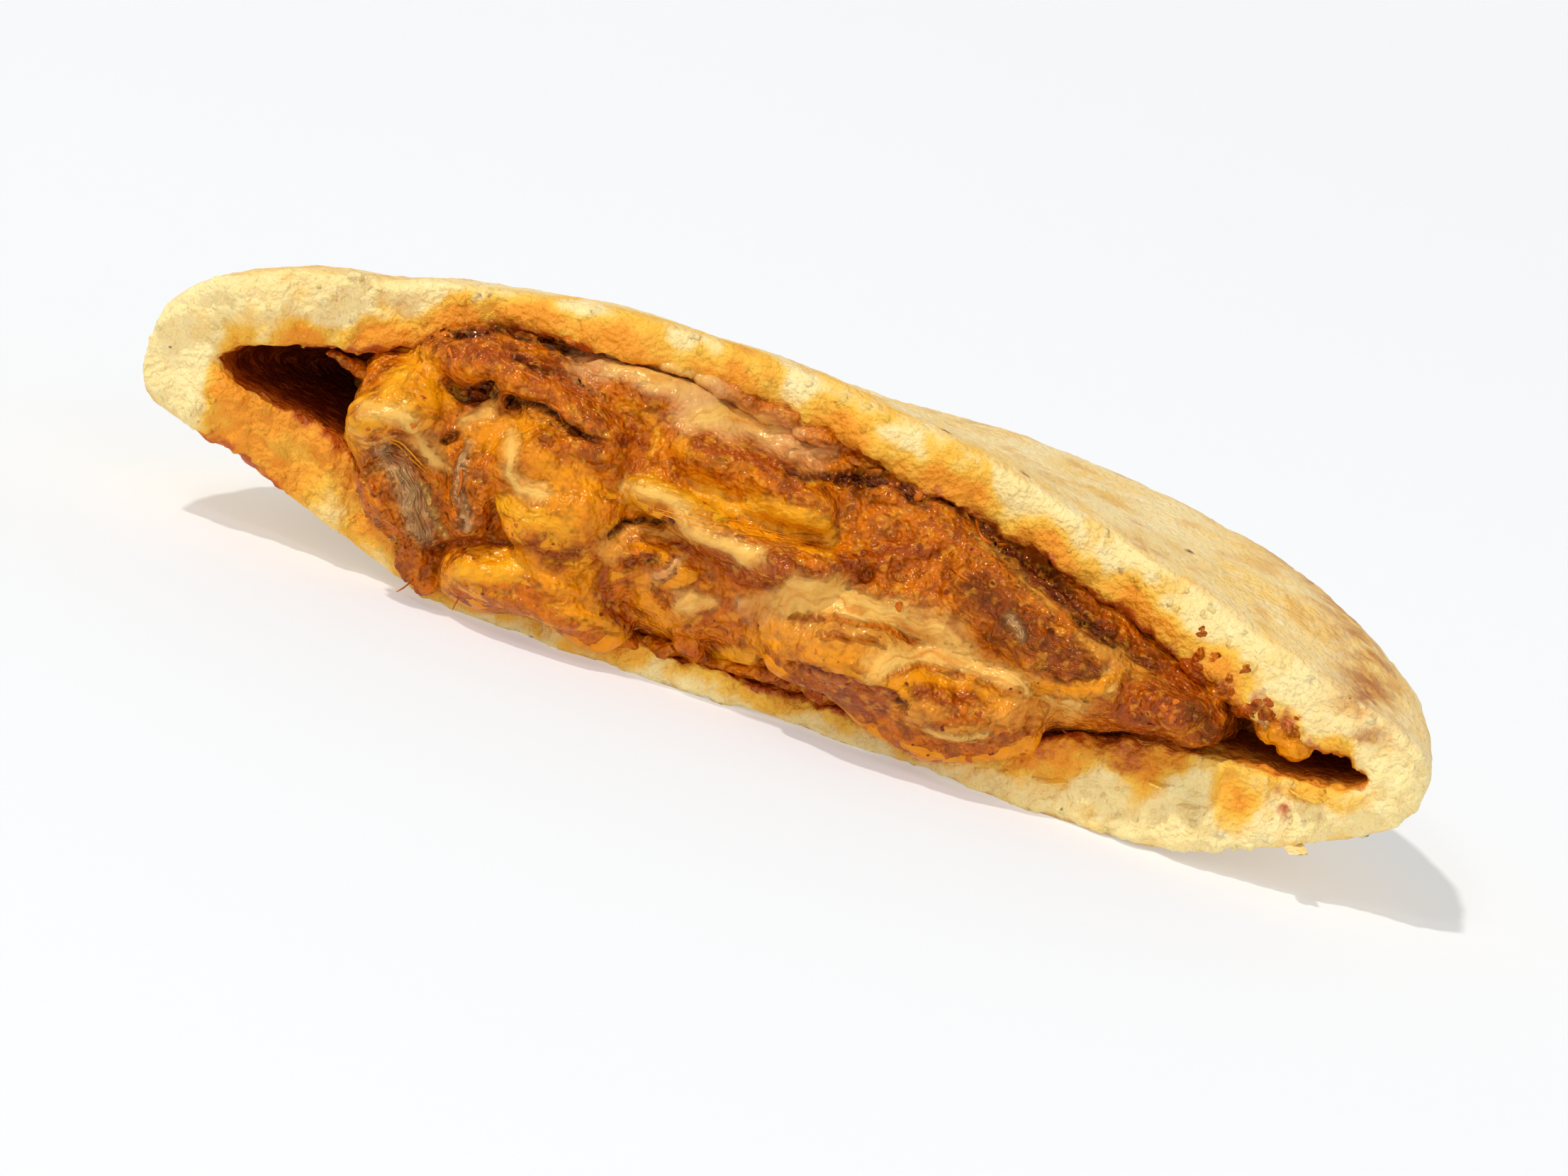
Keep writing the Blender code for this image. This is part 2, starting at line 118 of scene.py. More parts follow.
# What shows on the broken face, from the first laid to the last: its kind, its path as (along, height) in
# millimetres, its half width and how far it stands out. The dark kind is painted shade in gaps and creases,
# sunk in, with some sauce and beef in it
STREAKS = (
    # shredded beef under the top lip, on the left
    ("orange", ((-35, 20.9), (-32.1, 20.7), (-27.2, 21.1), (-22.5, 21), (-18.1, 20)), 1.3, 0.3),
    ("rust", ((-33.3, 22.1), (-31, 22), (-27.1, 22.7), (-23.5, 22.4), (-20.3, 21.7)), 0.8, 0.2),
    # dark gaps above and below the beef flap: painted shade
    ("dark_sauce_and_shade", ((-32.3, 23.4), (-28.9, 24.7), (-24.9, 25.2), (-21.4, 25.2)), 0.4, -0.8),
    ("dark_sauce_and_shade", ((-26.6, 22.8), (-24.7, 22.6), (-23.5, 22.4)), 0.2, -0.8),
    ("dark_sauce_and_shade", ((-31.4, 18.6), (-29.5, 18.9), (-27.6, 19.5)), 0.9, -1.2),
    ("dark_sauce_and_shade", ((-26.1, 19.4), (-23.2, 19.5), (-20.7, 18.9), (-17.8, 18.1)), 0.4, -0.9),
    ("gold", ((-16.3, 21.8), (-13.8, 21.5), (-12.7, 20.1), (-13.1, 18.2)), 0.8, 0.4),
    ("rust", ((-16.1, 19.2), (-15.1, 19.9), (-14.3, 19.2)), 0.5, 0.0),
    # pale slab and glossy blob under the lip
    ("pink", ((-20.2, 24.7), (-17.3, 25.3), (-14.4, 25.6), (-9.8, 25.3)), 1.8, 0.5),
    ("cream", ((-18.1, 25.4), (-15.2, 25.9), (-11.5, 25.9)), 1.0, 0.2),
    ("orange", ((-18.5, 22.6), (-15, 22.7), (-12.6, 22.8)), 0.8, 0.0),
    ("pink", ((-10.6, 22.7), (-6.7, 23.6), (-1.8, 22.9)), 1.5, 0.5),
    ("cream", ((-10.2, 22.7), (-9.0, 23.5), (-6.6, 24.0), (-4.6, 23.7)), 0.8, 0.2),
    ("rust", ((-9.4, 20.4), (-5.3, 20.9), (-0.8, 21.1)), 0.9, 0.1),
    ("pink", ((-1.5, 22.3), (-0.1, 23.4), (1.8, 23.9)), 0.4, 0.3),
    ("dark_sauce_and_shade", ((-1.4, 20.9), (1.1, 21.6), (3.6, 22)), 0.4, -0.6),
    # lobe at the left end of the filling, with the beef under it
    ("yellow", ((-37.6, 13.0), (-36.2, 15.0), (-35.0, 17.2), (-34.2, 19.6)), 1.4, 0.3),
    ("cream", ((-37.2, 14.2), (-36, 14.9), (-34.5, 15.2), (-32.4, 14.1), (-30.4, 12.4)), 0.7, 0.3),
    ("gold", ((-34.1, 19.7), (-33.2, 17.7), (-31.8, 16.9)), 1.0, 0.0),
    ("cream", ((-29, 16.4), (-27.9, 17.5), (-27.2, 18.1)), 0.6, 0.2),
    # a small notch, painted dark as shade
    ("brown", ((-30.4, 14.2), (-29.7, 14.8)), 0.3, -0.4),
    ("grey", ((-34, 11.8), (-32.3, 10), (-30.9, 7.8), (-30.1, 5.4)), 1.4, 0.2),
    ("cream", ((-31.3, 10.3), (-29.8, 8.4), (-28, 6.4)), 0.2, 0.2),
    ("orange", ((-34.7, 8.3), (-32.9, 6.2), (-31.2, 4.4)), 0.8, 0.0),
    ("grey", ((-28, 15), (-28.4, 12.5), (-28, 10.2), (-26.5, 8.1)), 0.6, 0.2),
    # golden bulge with its pale crescent
    ("orange", ((-26, 15.3), (-26.2, 12), (-25.4, 9.3)), 0.8, 0.2),
    ("gold", ((-25.7, 16.3), (-22.1, 16), (-18.8, 14.5), (-17.2, 11.4)), 2.6, 0.3),
    ("orange", ((-21.8, 16.7), (-19, 17.1), (-15.3, 16.5)), 1.1, 0.2),
    ("cream", ((-24.7, 15.8), (-24.2, 13.6), (-22.8, 12.4), (-20.8, 12.6)), 0.6, 0.3),
    ("yellow", ((-23.7, 10.5), (-20.9, 9.9), (-17.9, 9.7)), 1.0, 0.1),
    # roll over the bottom lip
    ("rust", ((-28.3, 5.4), (-25.3, 7.1), (-22.5, 7.3), (-19.1, 7.7), (-16.4, 8.5)), 0.4, -0.3),
    ("gold", ((-26.5, 3.3), (-23.6, 5.5), (-19.7, 5.9), (-15.6, 6.1)), 1.4, 0.3),
    ("yellow", ((-26.1, 3.8), (-24.1, 5.1), (-20.7, 5.5)), 0.7, 0.2),
    ("rust", ((-29.7, 4), (-28.8, 2.2), (-28.5, 1.2)), 1.2, 0.2),
    ("gold", ((-17, 2.9), (-14.4, 4.1), (-12, 3.7)), 1.3, 0.2),
    ("orange", ((-22.1, 2.4), (-19.3, 2.8), (-15.6, 2.2)), 0.7, 0.0),
    # curl in the middle
    ("rust", ((-14.5, 10), (-14.2, 7.1), (-12, 4.9), (-9.5, 4.3)), 0.8, 0.0),
    ("tan", ((-14, 9.3), (-13.8, 10.7), (-12.1, 12), (-10.1, 12.9)), 0.8, 0.4),
    ("dark_sauce_and_shade", ((-14.4, 10.8), (-13.6, 12.1), (-11.9, 13.2), (-9.7, 13.7)), 0.25, -0.5),
    ("rust", ((-12.3, 9.5), (-10.8, 9.5)), 0.9, -0.5),
    ("pink", ((-9.9, 8.4), (-8.7, 9.3), (-8.3, 10.9)), 0.5, 0.2),
    # stretched band, yellow over pale
    ("orange", ((-12.1, 17.6), (-8.2, 18.3), (-3.7, 18.9), (1.7, 20.4)), 1.0, 0.2),
    ("yellow", ((-13.7, 15.3), (-9.3, 16.2), (-3.9, 16.8), (0.9, 17.2), (2.6, 17.4)), 1.2, 0.4),
    ("cream", ((-14.3, 15.1), (-11.4, 15.5), (-9, 15.1)), 0.4, 0.3),
    ("cream", ((-8.7, 14.3), (-6.1, 13.4), (-2.8, 13.2), (-0.4, 13.8)), 0.8, 0.4),
    ("gold", ((-5.5, 15.1), (-2, 15.1), (2.2, 15.9)), 0.4, 0.1),
    ("orange", ((2.4, 19.6), (4.2, 18.4), (4.9, 16.6), (4.4, 15.0)), 1.1, 0.1),
    # ridge of sauce
    ("rust", ((-8.6, 12), (-4.4, 11.6), (-1.1, 11.2)), 0.9, 0.3),
    ("rust", ((-0.7, 13.6), (2, 11.9), (4.3, 13), (6.7, 15.8), (9.5, 17.4), (12.5, 18.3)), 1.2, 0.5),
    ("orange", ((6.2, 19.6), (10, 20.1), (14, 19.8), (17.3, 19.6)), 1.2, 0.2),
    # painted shade in the crease beside the ridge, in the rust colour of the sauce
    ("rust", ((2.2, 10.3), (4.2, 11.3), (5.7, 12.8), (7.7, 14.8)), 0.5, -0.4),
    # nodules along the bottom lip
    ("gold", ((-10.1, 7.3), (-8.6, 6), (-7.5, 5.2)), 1.2, 0.2),
    ("cream", ((-6.6, 7.3), (-5, 7.7)), 0.7, 0.3),
    ("pink", ((-1.9, 8.3), (0, 8.6), (1.9, 9)), 0.7, 0.3),
    ("orange", ((-6.6, 4.3), (-4.5, 4.2)), 1.2, 0.5),
    ("yellow", ((-2.1, 4.1), (-0.2, 4.4)), 0.7, 0.3),
    # big marbled swirl
    ("gold", ((0.3, 7), (4.9, 6.9), (9.9, 7.6), (13.1, 9.7)), 1.7, 0.2),
    ("tan", ((2.2, 9.4), (7.8, 10.2), (12.5, 10.6), (17.6, 9.9), (22.5, 8.8), (26.2, 9.6)), 2.6, 0.4),
    ("cream", ((1.4, 10.4), (5.4, 11.4), (10.1, 12.1), (14.7, 12.2), (17.6, 11.3)), 1.3, 0.2),
    ("orange", ((2.4, 9.1), (6.0, 10.2), (10.2, 10.7), (13.4, 10.3)), 0.28, -0.1),
    ("orange", ((5.4, 8.4), (9.0, 9.3), (12.2, 9.0)), 0.22, -0.1),
    ("cream", ((10.1, 6.9), (12.1, 8.6), (15.2, 9.9), (19.2, 9.9), (22.9, 9.3), (26.6, 9.9)), 0.9, 0.2),
    ("orange", ((11.4, 6.7), (13.8, 8.6), (17.2, 9.1), (21.2, 8.6), (25.0, 8.7)), 0.24, -0.1),
    ("gold", ((11.5, 6.0), (14.2, 7.8), (18.1, 8.0), (22, 7.8)), 0.6, -0.1),
    ("rust", ((14.4, 6.3), (17, 6.5), (18.4, 7.2)), 0.7, -0.1),
    ("tan", ((14, 4.7), (17.5, 4.9), (20.7, 6.3), (23.9, 8.2)), 1.0, 0.2),
    ("orange", ((16.1, 4.1), (18.3, 5.5), (20.8, 6)), 0.3, 0.0),
    ("cream", ((16.2, 3.8), (18.8, 3.7), (21.1, 4.8)), 0.3, 0.2),
    # beef and sauce towards the right end
    ("orange", ((15.2, 15.6), (18.1, 14.6), (22.4, 13.4), (25.9, 12.6)), 2.2, 0.2),
    ("brown", ((16.5, 16.3), (20, 14.9), (24, 13.2), (27, 12.6)), 1.7, 0.2),
    ("grey", ((19.6, 15.1), (21.3, 13.7)), 0.4, 0.1),
    # painted shade under the top lip, in the brown of the beef
    ("brown", ((18.9, 20.6), (25.4, 17.0), (31.2, 15.4), (36.0, 12.9)), 1.1, -0.4),
    ("cream", ((29, 13.3), (29.7, 11.9)), 0.5, 0.3),
    ("gold", ((24.2, 9.7), (27.6, 11.2), (29.6, 13.2)), 0.8, 0.2),
    ("tan", ((15.7, 20.4), (18.2, 19.9), (20.2, 18.6), (22.7, 16.8)), 0.6, 0.2),
    ("tan", ((26.4, 15.4), (29.9, 14.6), (33.4, 13.5)), 0.8, 0.1),
    ("rust", ((31.1, 10.4), (33.8, 10.3), (35, 8.4)), 1.4, 0.2),
    ("rust", ((33.2, 12.6), (35.5, 12.2), (38.5, 11.8)), 2.0, 0.0),
    ("brown", ((37.0, 12.0), (39.5, 11.4)), 1.4, 0.0),
    # bits that hang from the top lip on the right, and lie over the bottom lip
    ("rust", ((35.5, 15.4), (39.5, 14.6), (43.5, 13.8)), 1.6, 0.1),
    ("orange", ((38, 14.9), (41, 14.2)), 0.7, 0.1),
    ("gold", ((44.6, 12.8), (46.2, 12.0), (47.6, 11.4)), 1.3, 0.1),
    ("orange", ((-29.6, 2.6), (-28, 2.0)), 1.0, 0.1),
    # creases under the lip and under the swirl: painted shade, dark under the lip and in the rust colour of
    # the sauce under the swirl
    (
        "dark_sauce_and_shade",
        ((3, 21.7), (7.2, 22.7), (12.4, 22.9), (15.9, 22.1), (19.1, 20.2), (22.9, 18.2), (28.1, 17.3)),
        0.8,
        -0.9,
    ),
    ("rust", ((3.4, 5.4), (7.3, 5.3), (11.8, 5.4), (13.3, 4.8)), 0.4, -0.4),
    ("rust", ((4.2, 3.7), (7.8, 3.6), (10.9, 4)), 0.9, 0.0),
)
# The highlights on the filling, warmed by its oil
WARM_GLOSS = (1.0, 0.78, 0.48, 1.0)
# The values painted on the points of a filling piece
PAINTED = ("stain", "cheese", "fibre", "sauce", "run", "across", "core", "hollow")
# How much each kind of streak is cheese, beef and granular sauce
KINDS = {
    "rust": (0.0, 0.1, 1.0),
    "orange": (0.2, 0.0, 0.9),
    "gold": (0.9, 0.0, 0.3),
    "yellow": (1.0, 0.0, 0.12),
    "tan": (0.9, 0.0, 0.3),
    "cream": (1.0, 0.0, 0.0),
    "pink": (1.0, 0.0, 0.0),
    "grey": (0.0, 1.0, 0.15),
    "brown": (0.0, 0.6, 0.9),
    "dark_sauce_and_shade": (0.0, 0.3, 0.5),
}


def from_screen(red, green, blue):
    """A colour as a screen shows it, 0 to 255, in the linear values that Blender uses."""
    shares = [(value, value / 255) for value in (red, green, blue)]
    return tuple(c / 12.92 if value <= 10 else ((c + 0.055) / 1.055) ** 2.4 for value, c in shares)


def number(name, text, default, **limits):
    return bpy.props.FloatProperty(name=name, description=text, default=default, **limits)


def length(name, text, default):
    return number(name, text, default, min=0, unit="LENGTH", precision=5)


def angle(name, text, degrees):
    return number(name, text, math.radians(degrees), subtype="ANGLE")


def share(name, text, default):
    return number(name, text, default, min=0, max=1, subtype="FACTOR")


def colour(name, text, default):
    return bpy.props.FloatVectorProperty(
        name=name, description=text, default=default, subtype="COLOR", min=0, max=1
    )


def count(name, text, default):
    return bpy.props.IntProperty(name=name, description=text, default=default, min=0)


class CrustSettings(bpy.types.PropertyGroup):
    grain: length("Grain", "Size of the crust's mesh faces", 0.5 * MM)
    crumb_height: length("Crumb height", "Height of the fine crumb on the skin", 0.34 * MM)
    dent_height: length("Dent height", "Height of the broad dents in the skin", 0.9 * MM)
    shoulder: length("Shoulder", "How much fuller the skin is at the back, on the right", 1.7 * MM)
    tear_height: length("Tear height", "How ragged the torn lips are", 1.5 * MM)
    cream: colour("Cream", "Pale masa", from_screen(248, 219, 154))
    warm: colour("Warm", "Yellower masa", from_screen(245, 203, 116))
    tan: colour("Tan", "Lightly toasted masa", from_screen(222, 160, 70))
    brown: colour("Brown", "Well toasted masa", from_screen(178, 106, 44))
    stain: colour("Stain", "Masa tinted by the oil", from_screen(248, 188, 56))
    oil: colour("Oil", "Masa soaked with orange oil", from_screen(240, 150, 16))
    rust: colour("Rust", "Masa soaked with sauce", from_screen(188, 84, 6))
    # Sauce-soaked masa in the hollow; it darkens deeper in, and that darkening is painted shade
    pocket: colour("Pocket", "The wet inside of the hollow", from_screen(132, 46, 8))


class FillingSettings(bpy.types.PropertyGroup):
    stew_grain: length("Stew grain", "Size of the stew's mesh faces", 0.42 * MM)
    lump_grain: length("Lump grain", "Size of the lumps' mesh faces", 0.3 * MM)
    stand: number("Stand", "How far streaks stand out, as a factor", 1.2, min=0)
    swell: length("Swell", "How far each piece grows to meet its neighbours", 0.45 * MM)
    orange: colour("Orange sauce", "Thin sauce", from_screen(214, 110, 0))
    rust: colour("Rust sauce", "Thick sauce", from_screen(170, 70, 0))
    brown: colour("Brown beef", "Beef soaked with sauce", from_screen(136, 62, 8))
    # Dark sauce; the same colour is also the painted shade laid in the filling's hollows, creases and gaps
    dark_sauce_and_shade: colour("Dark sauce", "Sauce in the creases", from_screen(92, 28, 3))
    gold: colour("Golden cheese", "Cheese soaked with oil", from_screen(240, 148, 4))
    yellow: colour("Yellow cheese", "Cheese tinted by oil", from_screen(244, 168, 18))
    tan: colour("Tan cheese", "Cheese smeared with sauce", from_screen(220, 142, 42))
    cream: colour("Cream cheese", "Plain cheese", from_screen(240, 188, 94))
    pink: colour("Pinkish cheese", "Plain cheese with a thin film of sauce", from_screen(222, 166, 102))
    grey: colour("Grey beef", "Plain beef", from_screen(204, 156, 100))


class TrimmingSettings(bpy.types.PropertyGroup):
    grains: count("Sauce grains", "How many grains of sauce lie on the filling", 420)
    flecks: count("Chile flecks", "How many flecks of chile and pepper lie on the filling", 130)
    crumbs: count("Crumbs", "How many crumbs cling to the torn lips", 260)
    flakes: count("Flakes", "How many flakes stand out of the torn ends", 12)


class StageSettings(bpy.types.PropertyGroup):
    azimuth: angle("Azimuth", "Camera's turn", 6)
    elevation: angle("Elevation", "Camera's height", 12.5)
    roll: angle("Roll", "Camera's roll", 17)
    distance: length("Distance", "From the camera to the half", 0.48)
    lens: number("Lens", "Focal length in millimetres", 129.7, min=1)
    floor: colour("Floor", "Table and backdrop", (0.62, 0.628, 0.638))
    glow: share("Glow", "How much the light table glows from below", 0.51)


def deselect():
    bpy.ops.object.select_all(action="DESELECT")


def make_active(piece):
    deselect()
    piece.select_set(True)
    bpy.context.view_layer.objects.active = piece


def merged_copy(node, name):
    """A free copy of a CAD node, with its loose triangles joined up."""
    make_active(frame["nodes"][node])
    bpy.ops.object.duplicate()
    piece = bpy.context.active_object
    piece.name = piece.data.name = name
    bpy.ops.object.parent_clear(type="CLEAR_KEEP_TRANSFORM")
    for key in list(piece.keys()):
        del piece[key]
    piece.data.materials.clear()
    bpy.ops.object.mode_set(mode="EDIT")
    bpy.ops.mesh.select_all(action="SELECT")
    bpy.ops.mesh.remove_doubles(threshold=MERGE)
    bpy.ops.mesh.customdata_custom_splitnormals_clear()
    bpy.ops.object.mode_set(mode="OBJECT")
    return piece


def modify(piece, kind, **values):
    """Adds a modifier and applies it."""
    modifier = piece.modifiers.new(kind.title(), kind)
    for key, value in values.items():
        setattr(modifier, key, value)
    make_active(piece)
    bpy.ops.object.modifier_apply(modifier=modifier.name)


def drop_scraps(piece, least):
    """Deletes the loose scraps with few points that a remesh can leave."""
    first, second = edges_of(piece)
    island = np.arange(len(piece.data.vertices))
    while True:
        low = np.minimum(island[first], island[second])
        joined = island.copy()
        np.minimum.at(joined, first, low)
        np.minimum.at(joined, second, low)
        joined = joined[joined]
        if (joined == island).all():
            break
        island = joined
    scrap = np.bincount(island, minlength=len(island))[island] < least
    if scrap.any():
        make_active(piece)
        bpy.ops.object.mode_set(mode="EDIT")
        bpy.ops.mesh.select_mode(type="VERT")
        bpy.ops.mesh.select_all(action="DESELECT")
        bpy.ops.object.mode_set(mode="OBJECT")
        piece.data.vertices.foreach_set("select", scrap)
        bpy.ops.object.mode_set(mode="EDIT")
        bpy.ops.mesh.delete(type="VERT")
        bpy.ops.object.mode_set(mode="OBJECT")


def remesh(piece, grain):
    modify(piece, "REMESH", mode="VOXEL", voxel_size=grain, use_smooth_shade=True)
    drop_scraps(piece, LOOSE_POINTS)


def smooth(piece, times):
    modify(piece, "SMOOTH", factor=0.5, iterations=times)


def swell(piece, distance):
    modify(piece, "DISPLACE", strength=distance, mid_level=0.0)


def clouds(name, size, depth=2, coloured=False):
    """A procedural cloud pattern for displacing a mesh."""
    texture = bpy.data.textures.get(name) or bpy.data.textures.new(name, "CLOUDS")
    texture.noise_scale = size
    texture.noise_depth = depth
    texture.cloud_type = "COLOR" if coloured else "GRAYSCALE"
    return texture


def relief(piece, texture, height, group=""):
    """Raises and lowers the surface by a pattern. A coloured pattern pushes it sideways too."""
    sideways = texture.type == "CLOUDS" and texture.cloud_type == "COLOR"
    modify(
        piece,
        "DISPLACE",
        texture=texture,
        strength=height,
        mid_level=0.5,
        texture_coords="LOCAL",
        direction="RGB_TO_XYZ" if sideways else "NORMAL",
        vertex_group=group,
    )


def points_of(piece):
    found = np.empty(len(piece.data.vertices) * 3)
    piece.data.vertices.foreach_get("co", found)
    return found.reshape(-1, 3)


def normals_of(piece):
    found = np.empty(len(piece.data.vertices) * 3)
    piece.data.vertices.foreach_get("normal", found)
    return found.reshape(-1, 3)


def edges_of(piece):
    """The two ends of every edge."""
    found = np.empty(len(piece.data.edges) * 2, np.int32)
    piece.data.edges.foreach_get("vertices", found)
    return found.reshape(-1, 2).T


def place_points(piece, points):
    piece.data.vertices.foreach_set("co", points.ravel())
    piece.data.update()


def noise_values(points):
    return np.array([noise.noise(point) for point in points.tolist()])


def step(low, high, values):
    """0 up to low and 1 from high on, smooth between them. Low may be the larger."""
    t = np.clip((values - low) / (high - low), 0, 1)
    return t * t * (3 - 2 * t)


def bell(values, middle, width):
    """1 at the middle, falling off smoothly on both sides."""
    return np.exp(-(((values - middle) / width) ** 2))


def set_attribute(mesh, name, values):
    attribute = mesh.attributes.get(name) or mesh.attributes.new(name, "FLOAT", "POINT")
    attribute.data.foreach_set("value", np.asarray(values, np.float32))


def make_group(piece, name, weights):
    group = piece.vertex_groups.new(name=name)
    for index, weight in enumerate(weights.tolist()):
        if weight > 0:
            group.add((index,), weight, "REPLACE")
    return group.name


def surface_of(meshes):
    """One search tree for several meshes."""
    points, faces = [], []
    for mesh in meshes:
        start = len(points)
        points += [vertex.co.copy() for vertex in mesh.vertices]
        faces += [[start + i for i in face.vertices] for face in mesh.polygons]
    return BVHTree.FromPolygons(points, faces)


def settled(piece, mask, times):
    """A mask without its stray points: each agrees with most of those around it."""
    first, second = edges_of(piece)
    around = np.bincount(first, minlength=len(mask)) + np.bincount(second, minlength=len(mask))
    share_set = mask.astype(float)
    for _ in range(times):
        total = np.bincount(first, share_set[second], len(mask))
        total += np.bincount(second, share_set[first], len(mask))
        share_set = (share_set + total / around) / 2
    return share_set > 0.5


def tree_of(points):
    tree = KDTree(len(points))
    for index, point in enumerate(points):
        tree.insert(point, index)
    tree.balance()
    return tree


def face_point(along, height, depth=0.0):
    return Vector((along * MM, BREAK_Y + depth * MM, height * MM))


def near_places(points, places):
    """How near each point is to any of some places on the broken face: (along, height, radius) in mm."""
    total = np.zeros(len(points))
    for along, height, radius in places:
        away = np.hypot(points[:, 0] / MM - along, points[:, 2] / MM - height) / radius
        total = np.maximum(total, np.exp(-(away**2)))
    return total


def finish_piece(piece, material, slot, *nodes):
    """Gives a piece its material, attaches it to the body, and hides the CAD nodes that it takes the place of.
    """
    piece.data.materials.clear()
    piece.data.materials.append(material)
    make_active(piece)
    bpy.ops.object.shade_smooth()
    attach(piece, BODY)
    if nodes:
        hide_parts(*nodes)


# Materials


def add(tree, kind, inputs=None, **settings):
    """A shader node. Its inputs are numbers, colours or other nodes' sockets, by name or by place."""
    node = tree.nodes.new("ShaderNode" + kind)
    for key, value in settings.items():
        setattr(node, key, value)
    for key, value in (inputs or {}).items():
        if isinstance(value, bpy.types.NodeSocket):
            tree.links.new(value, node.inputs[key])
        else:
            node.inputs[key].default_value = value
    return node


def blend(tree, factor, first, second):
    """The first colour where the factor is 0, and the second where it is 1."""
    colours = [(*c, 1.0) if isinstance(c, (tuple, list)) and len(c) == 3 else c for c in (first, second)]
    return add(tree, "Mix", {0: factor, 6: colours[0], 7: colours[1]}, data_type="RGBA").outputs[2]


def compute(tree, operation, first, second=0.0, clamp=False):
    return add(tree, "Math", {0: first, 1: second}, operation=operation, use_clamp=clamp).outputs[0]


def times(tree, first, second):
    return compute(tree, "MULTIPLY", first, second)


def plus(tree, first, second):
    return compute(tree, "ADD", first, second)


def between(tree, value, low, high, least=0.0, most=1.0):
    """Turns values from low to high smoothly into least to most."""
    inputs = {"Value": value, "From Min": low, "From Max": high, "To Min": least, "To Max": most}
    return add(tree, "MapRange", inputs, interpolation_type="SMOOTHSTEP").outputs["Result"]


def noise_at(tree, vector, size, detail=3.0, distortion=0.0):
    """Noise with features of a size in metres, or of the vector's own units where size is 1."""
    inputs = {"Vector": vector, "Scale": 1 / size, "Detail": detail, "Distortion": distortion}
    return add(tree, "TexNoise", inputs).outputs["Fac"]


def object_place(tree):
    return add(tree, "TexCoord").outputs["Object"]


def painted(tree, name):
    """A value painted on the piece's vertices."""
    return add(tree, "Attribute", attribute_name=name, attribute_type="GEOMETRY").outputs["Fac"]


def node_group(name, inputs, outputs):
    """A new shader node group and its two end nodes, or None in their place if it is there already."""
    tree = bpy.data.node_groups.get(name)
    if tree:
        return tree, None, None
    tree = bpy.data.node_groups.new(name, "ShaderNodeTree")
    for label, kind, value in inputs:
        made = tree.interface.new_socket(label, in_out="INPUT", socket_type="NodeSocket" + kind)
        if value is not None:
            made.default_value = value
    for label in outputs:
        kind = "Color" if label == "Colour" else "Float"
        tree.interface.new_socket(label, in_out="OUTPUT", socket_type="NodeSocket" + kind)
    return tree, tree.nodes.new("NodeGroupInput").outputs, tree.nodes.new("NodeGroupOutput").inputs


def crumb_group():
    """The fine crumb of masa: a height, and a mask of paler grains."""
    tree, given, result = node_group(
        "Masa crumb", (("Vector", "Vector", None), ("Roughness", "Float", 1.0)), ("Height", "Pale grains")
    )
    if given:
        fine = noise_at(tree, given["Vector"], 0.55 * MM, 2)
        coarse = noise_at(tree, given["Vector"], 2.2 * MM, 2)
        height = plus(tree, times(tree, fine, 0.55), times(tree, coarse, 0.45))
        tree.links.new(times(tree, height, given["Roughness"]), result["Height"])
        grains = noise_at(tree, given["Vector"], 0.9 * MM, 2)
        tree.links.new(between(tree, grains, 0.52, 0.68), result["Pale grains"])
    return tree


def speck_group():
    """Small scattered specks: a mask that is 1 on them."""
    tree, given, result = node_group(
        "Specks", (("Vector", "Vector", None), ("Spacing", "Float", 3.0), ("Size", "Float", 0.12)), ("Mask",)
    )
    if given:
        millimetres = {0: given["Vector"], 1: (1000, 1000, 1000)}
        place = add(tree, "VectorMath", millimetres, operation="MULTIPLY").outputs[0]
        scale = compute(tree, "DIVIDE", 1.0, given["Spacing"])
        cells = add(tree, "TexVoronoi", {"Vector": place, "Scale": scale, "Randomness": 1.0})
        ragged = times(tree, noise_at(tree, given["Vector"], 0.5 * MM, 2), 0.12)
        away = plus(tree, cells.outputs["Distance"], ragged)
        inside = compute(tree, "SUBTRACT", plus(tree, given["Size"], 0.06), away)
        chosen = add(tree, "SeparateColor", {0: cells.outputs["Color"]}).outputs[0]
        mask = times(tree, between(tree, inside, 0.0, 0.04), between(tree, chosen, 0.55, 0.6))
        tree.links.new(mask, result["Mask"])
    return tree


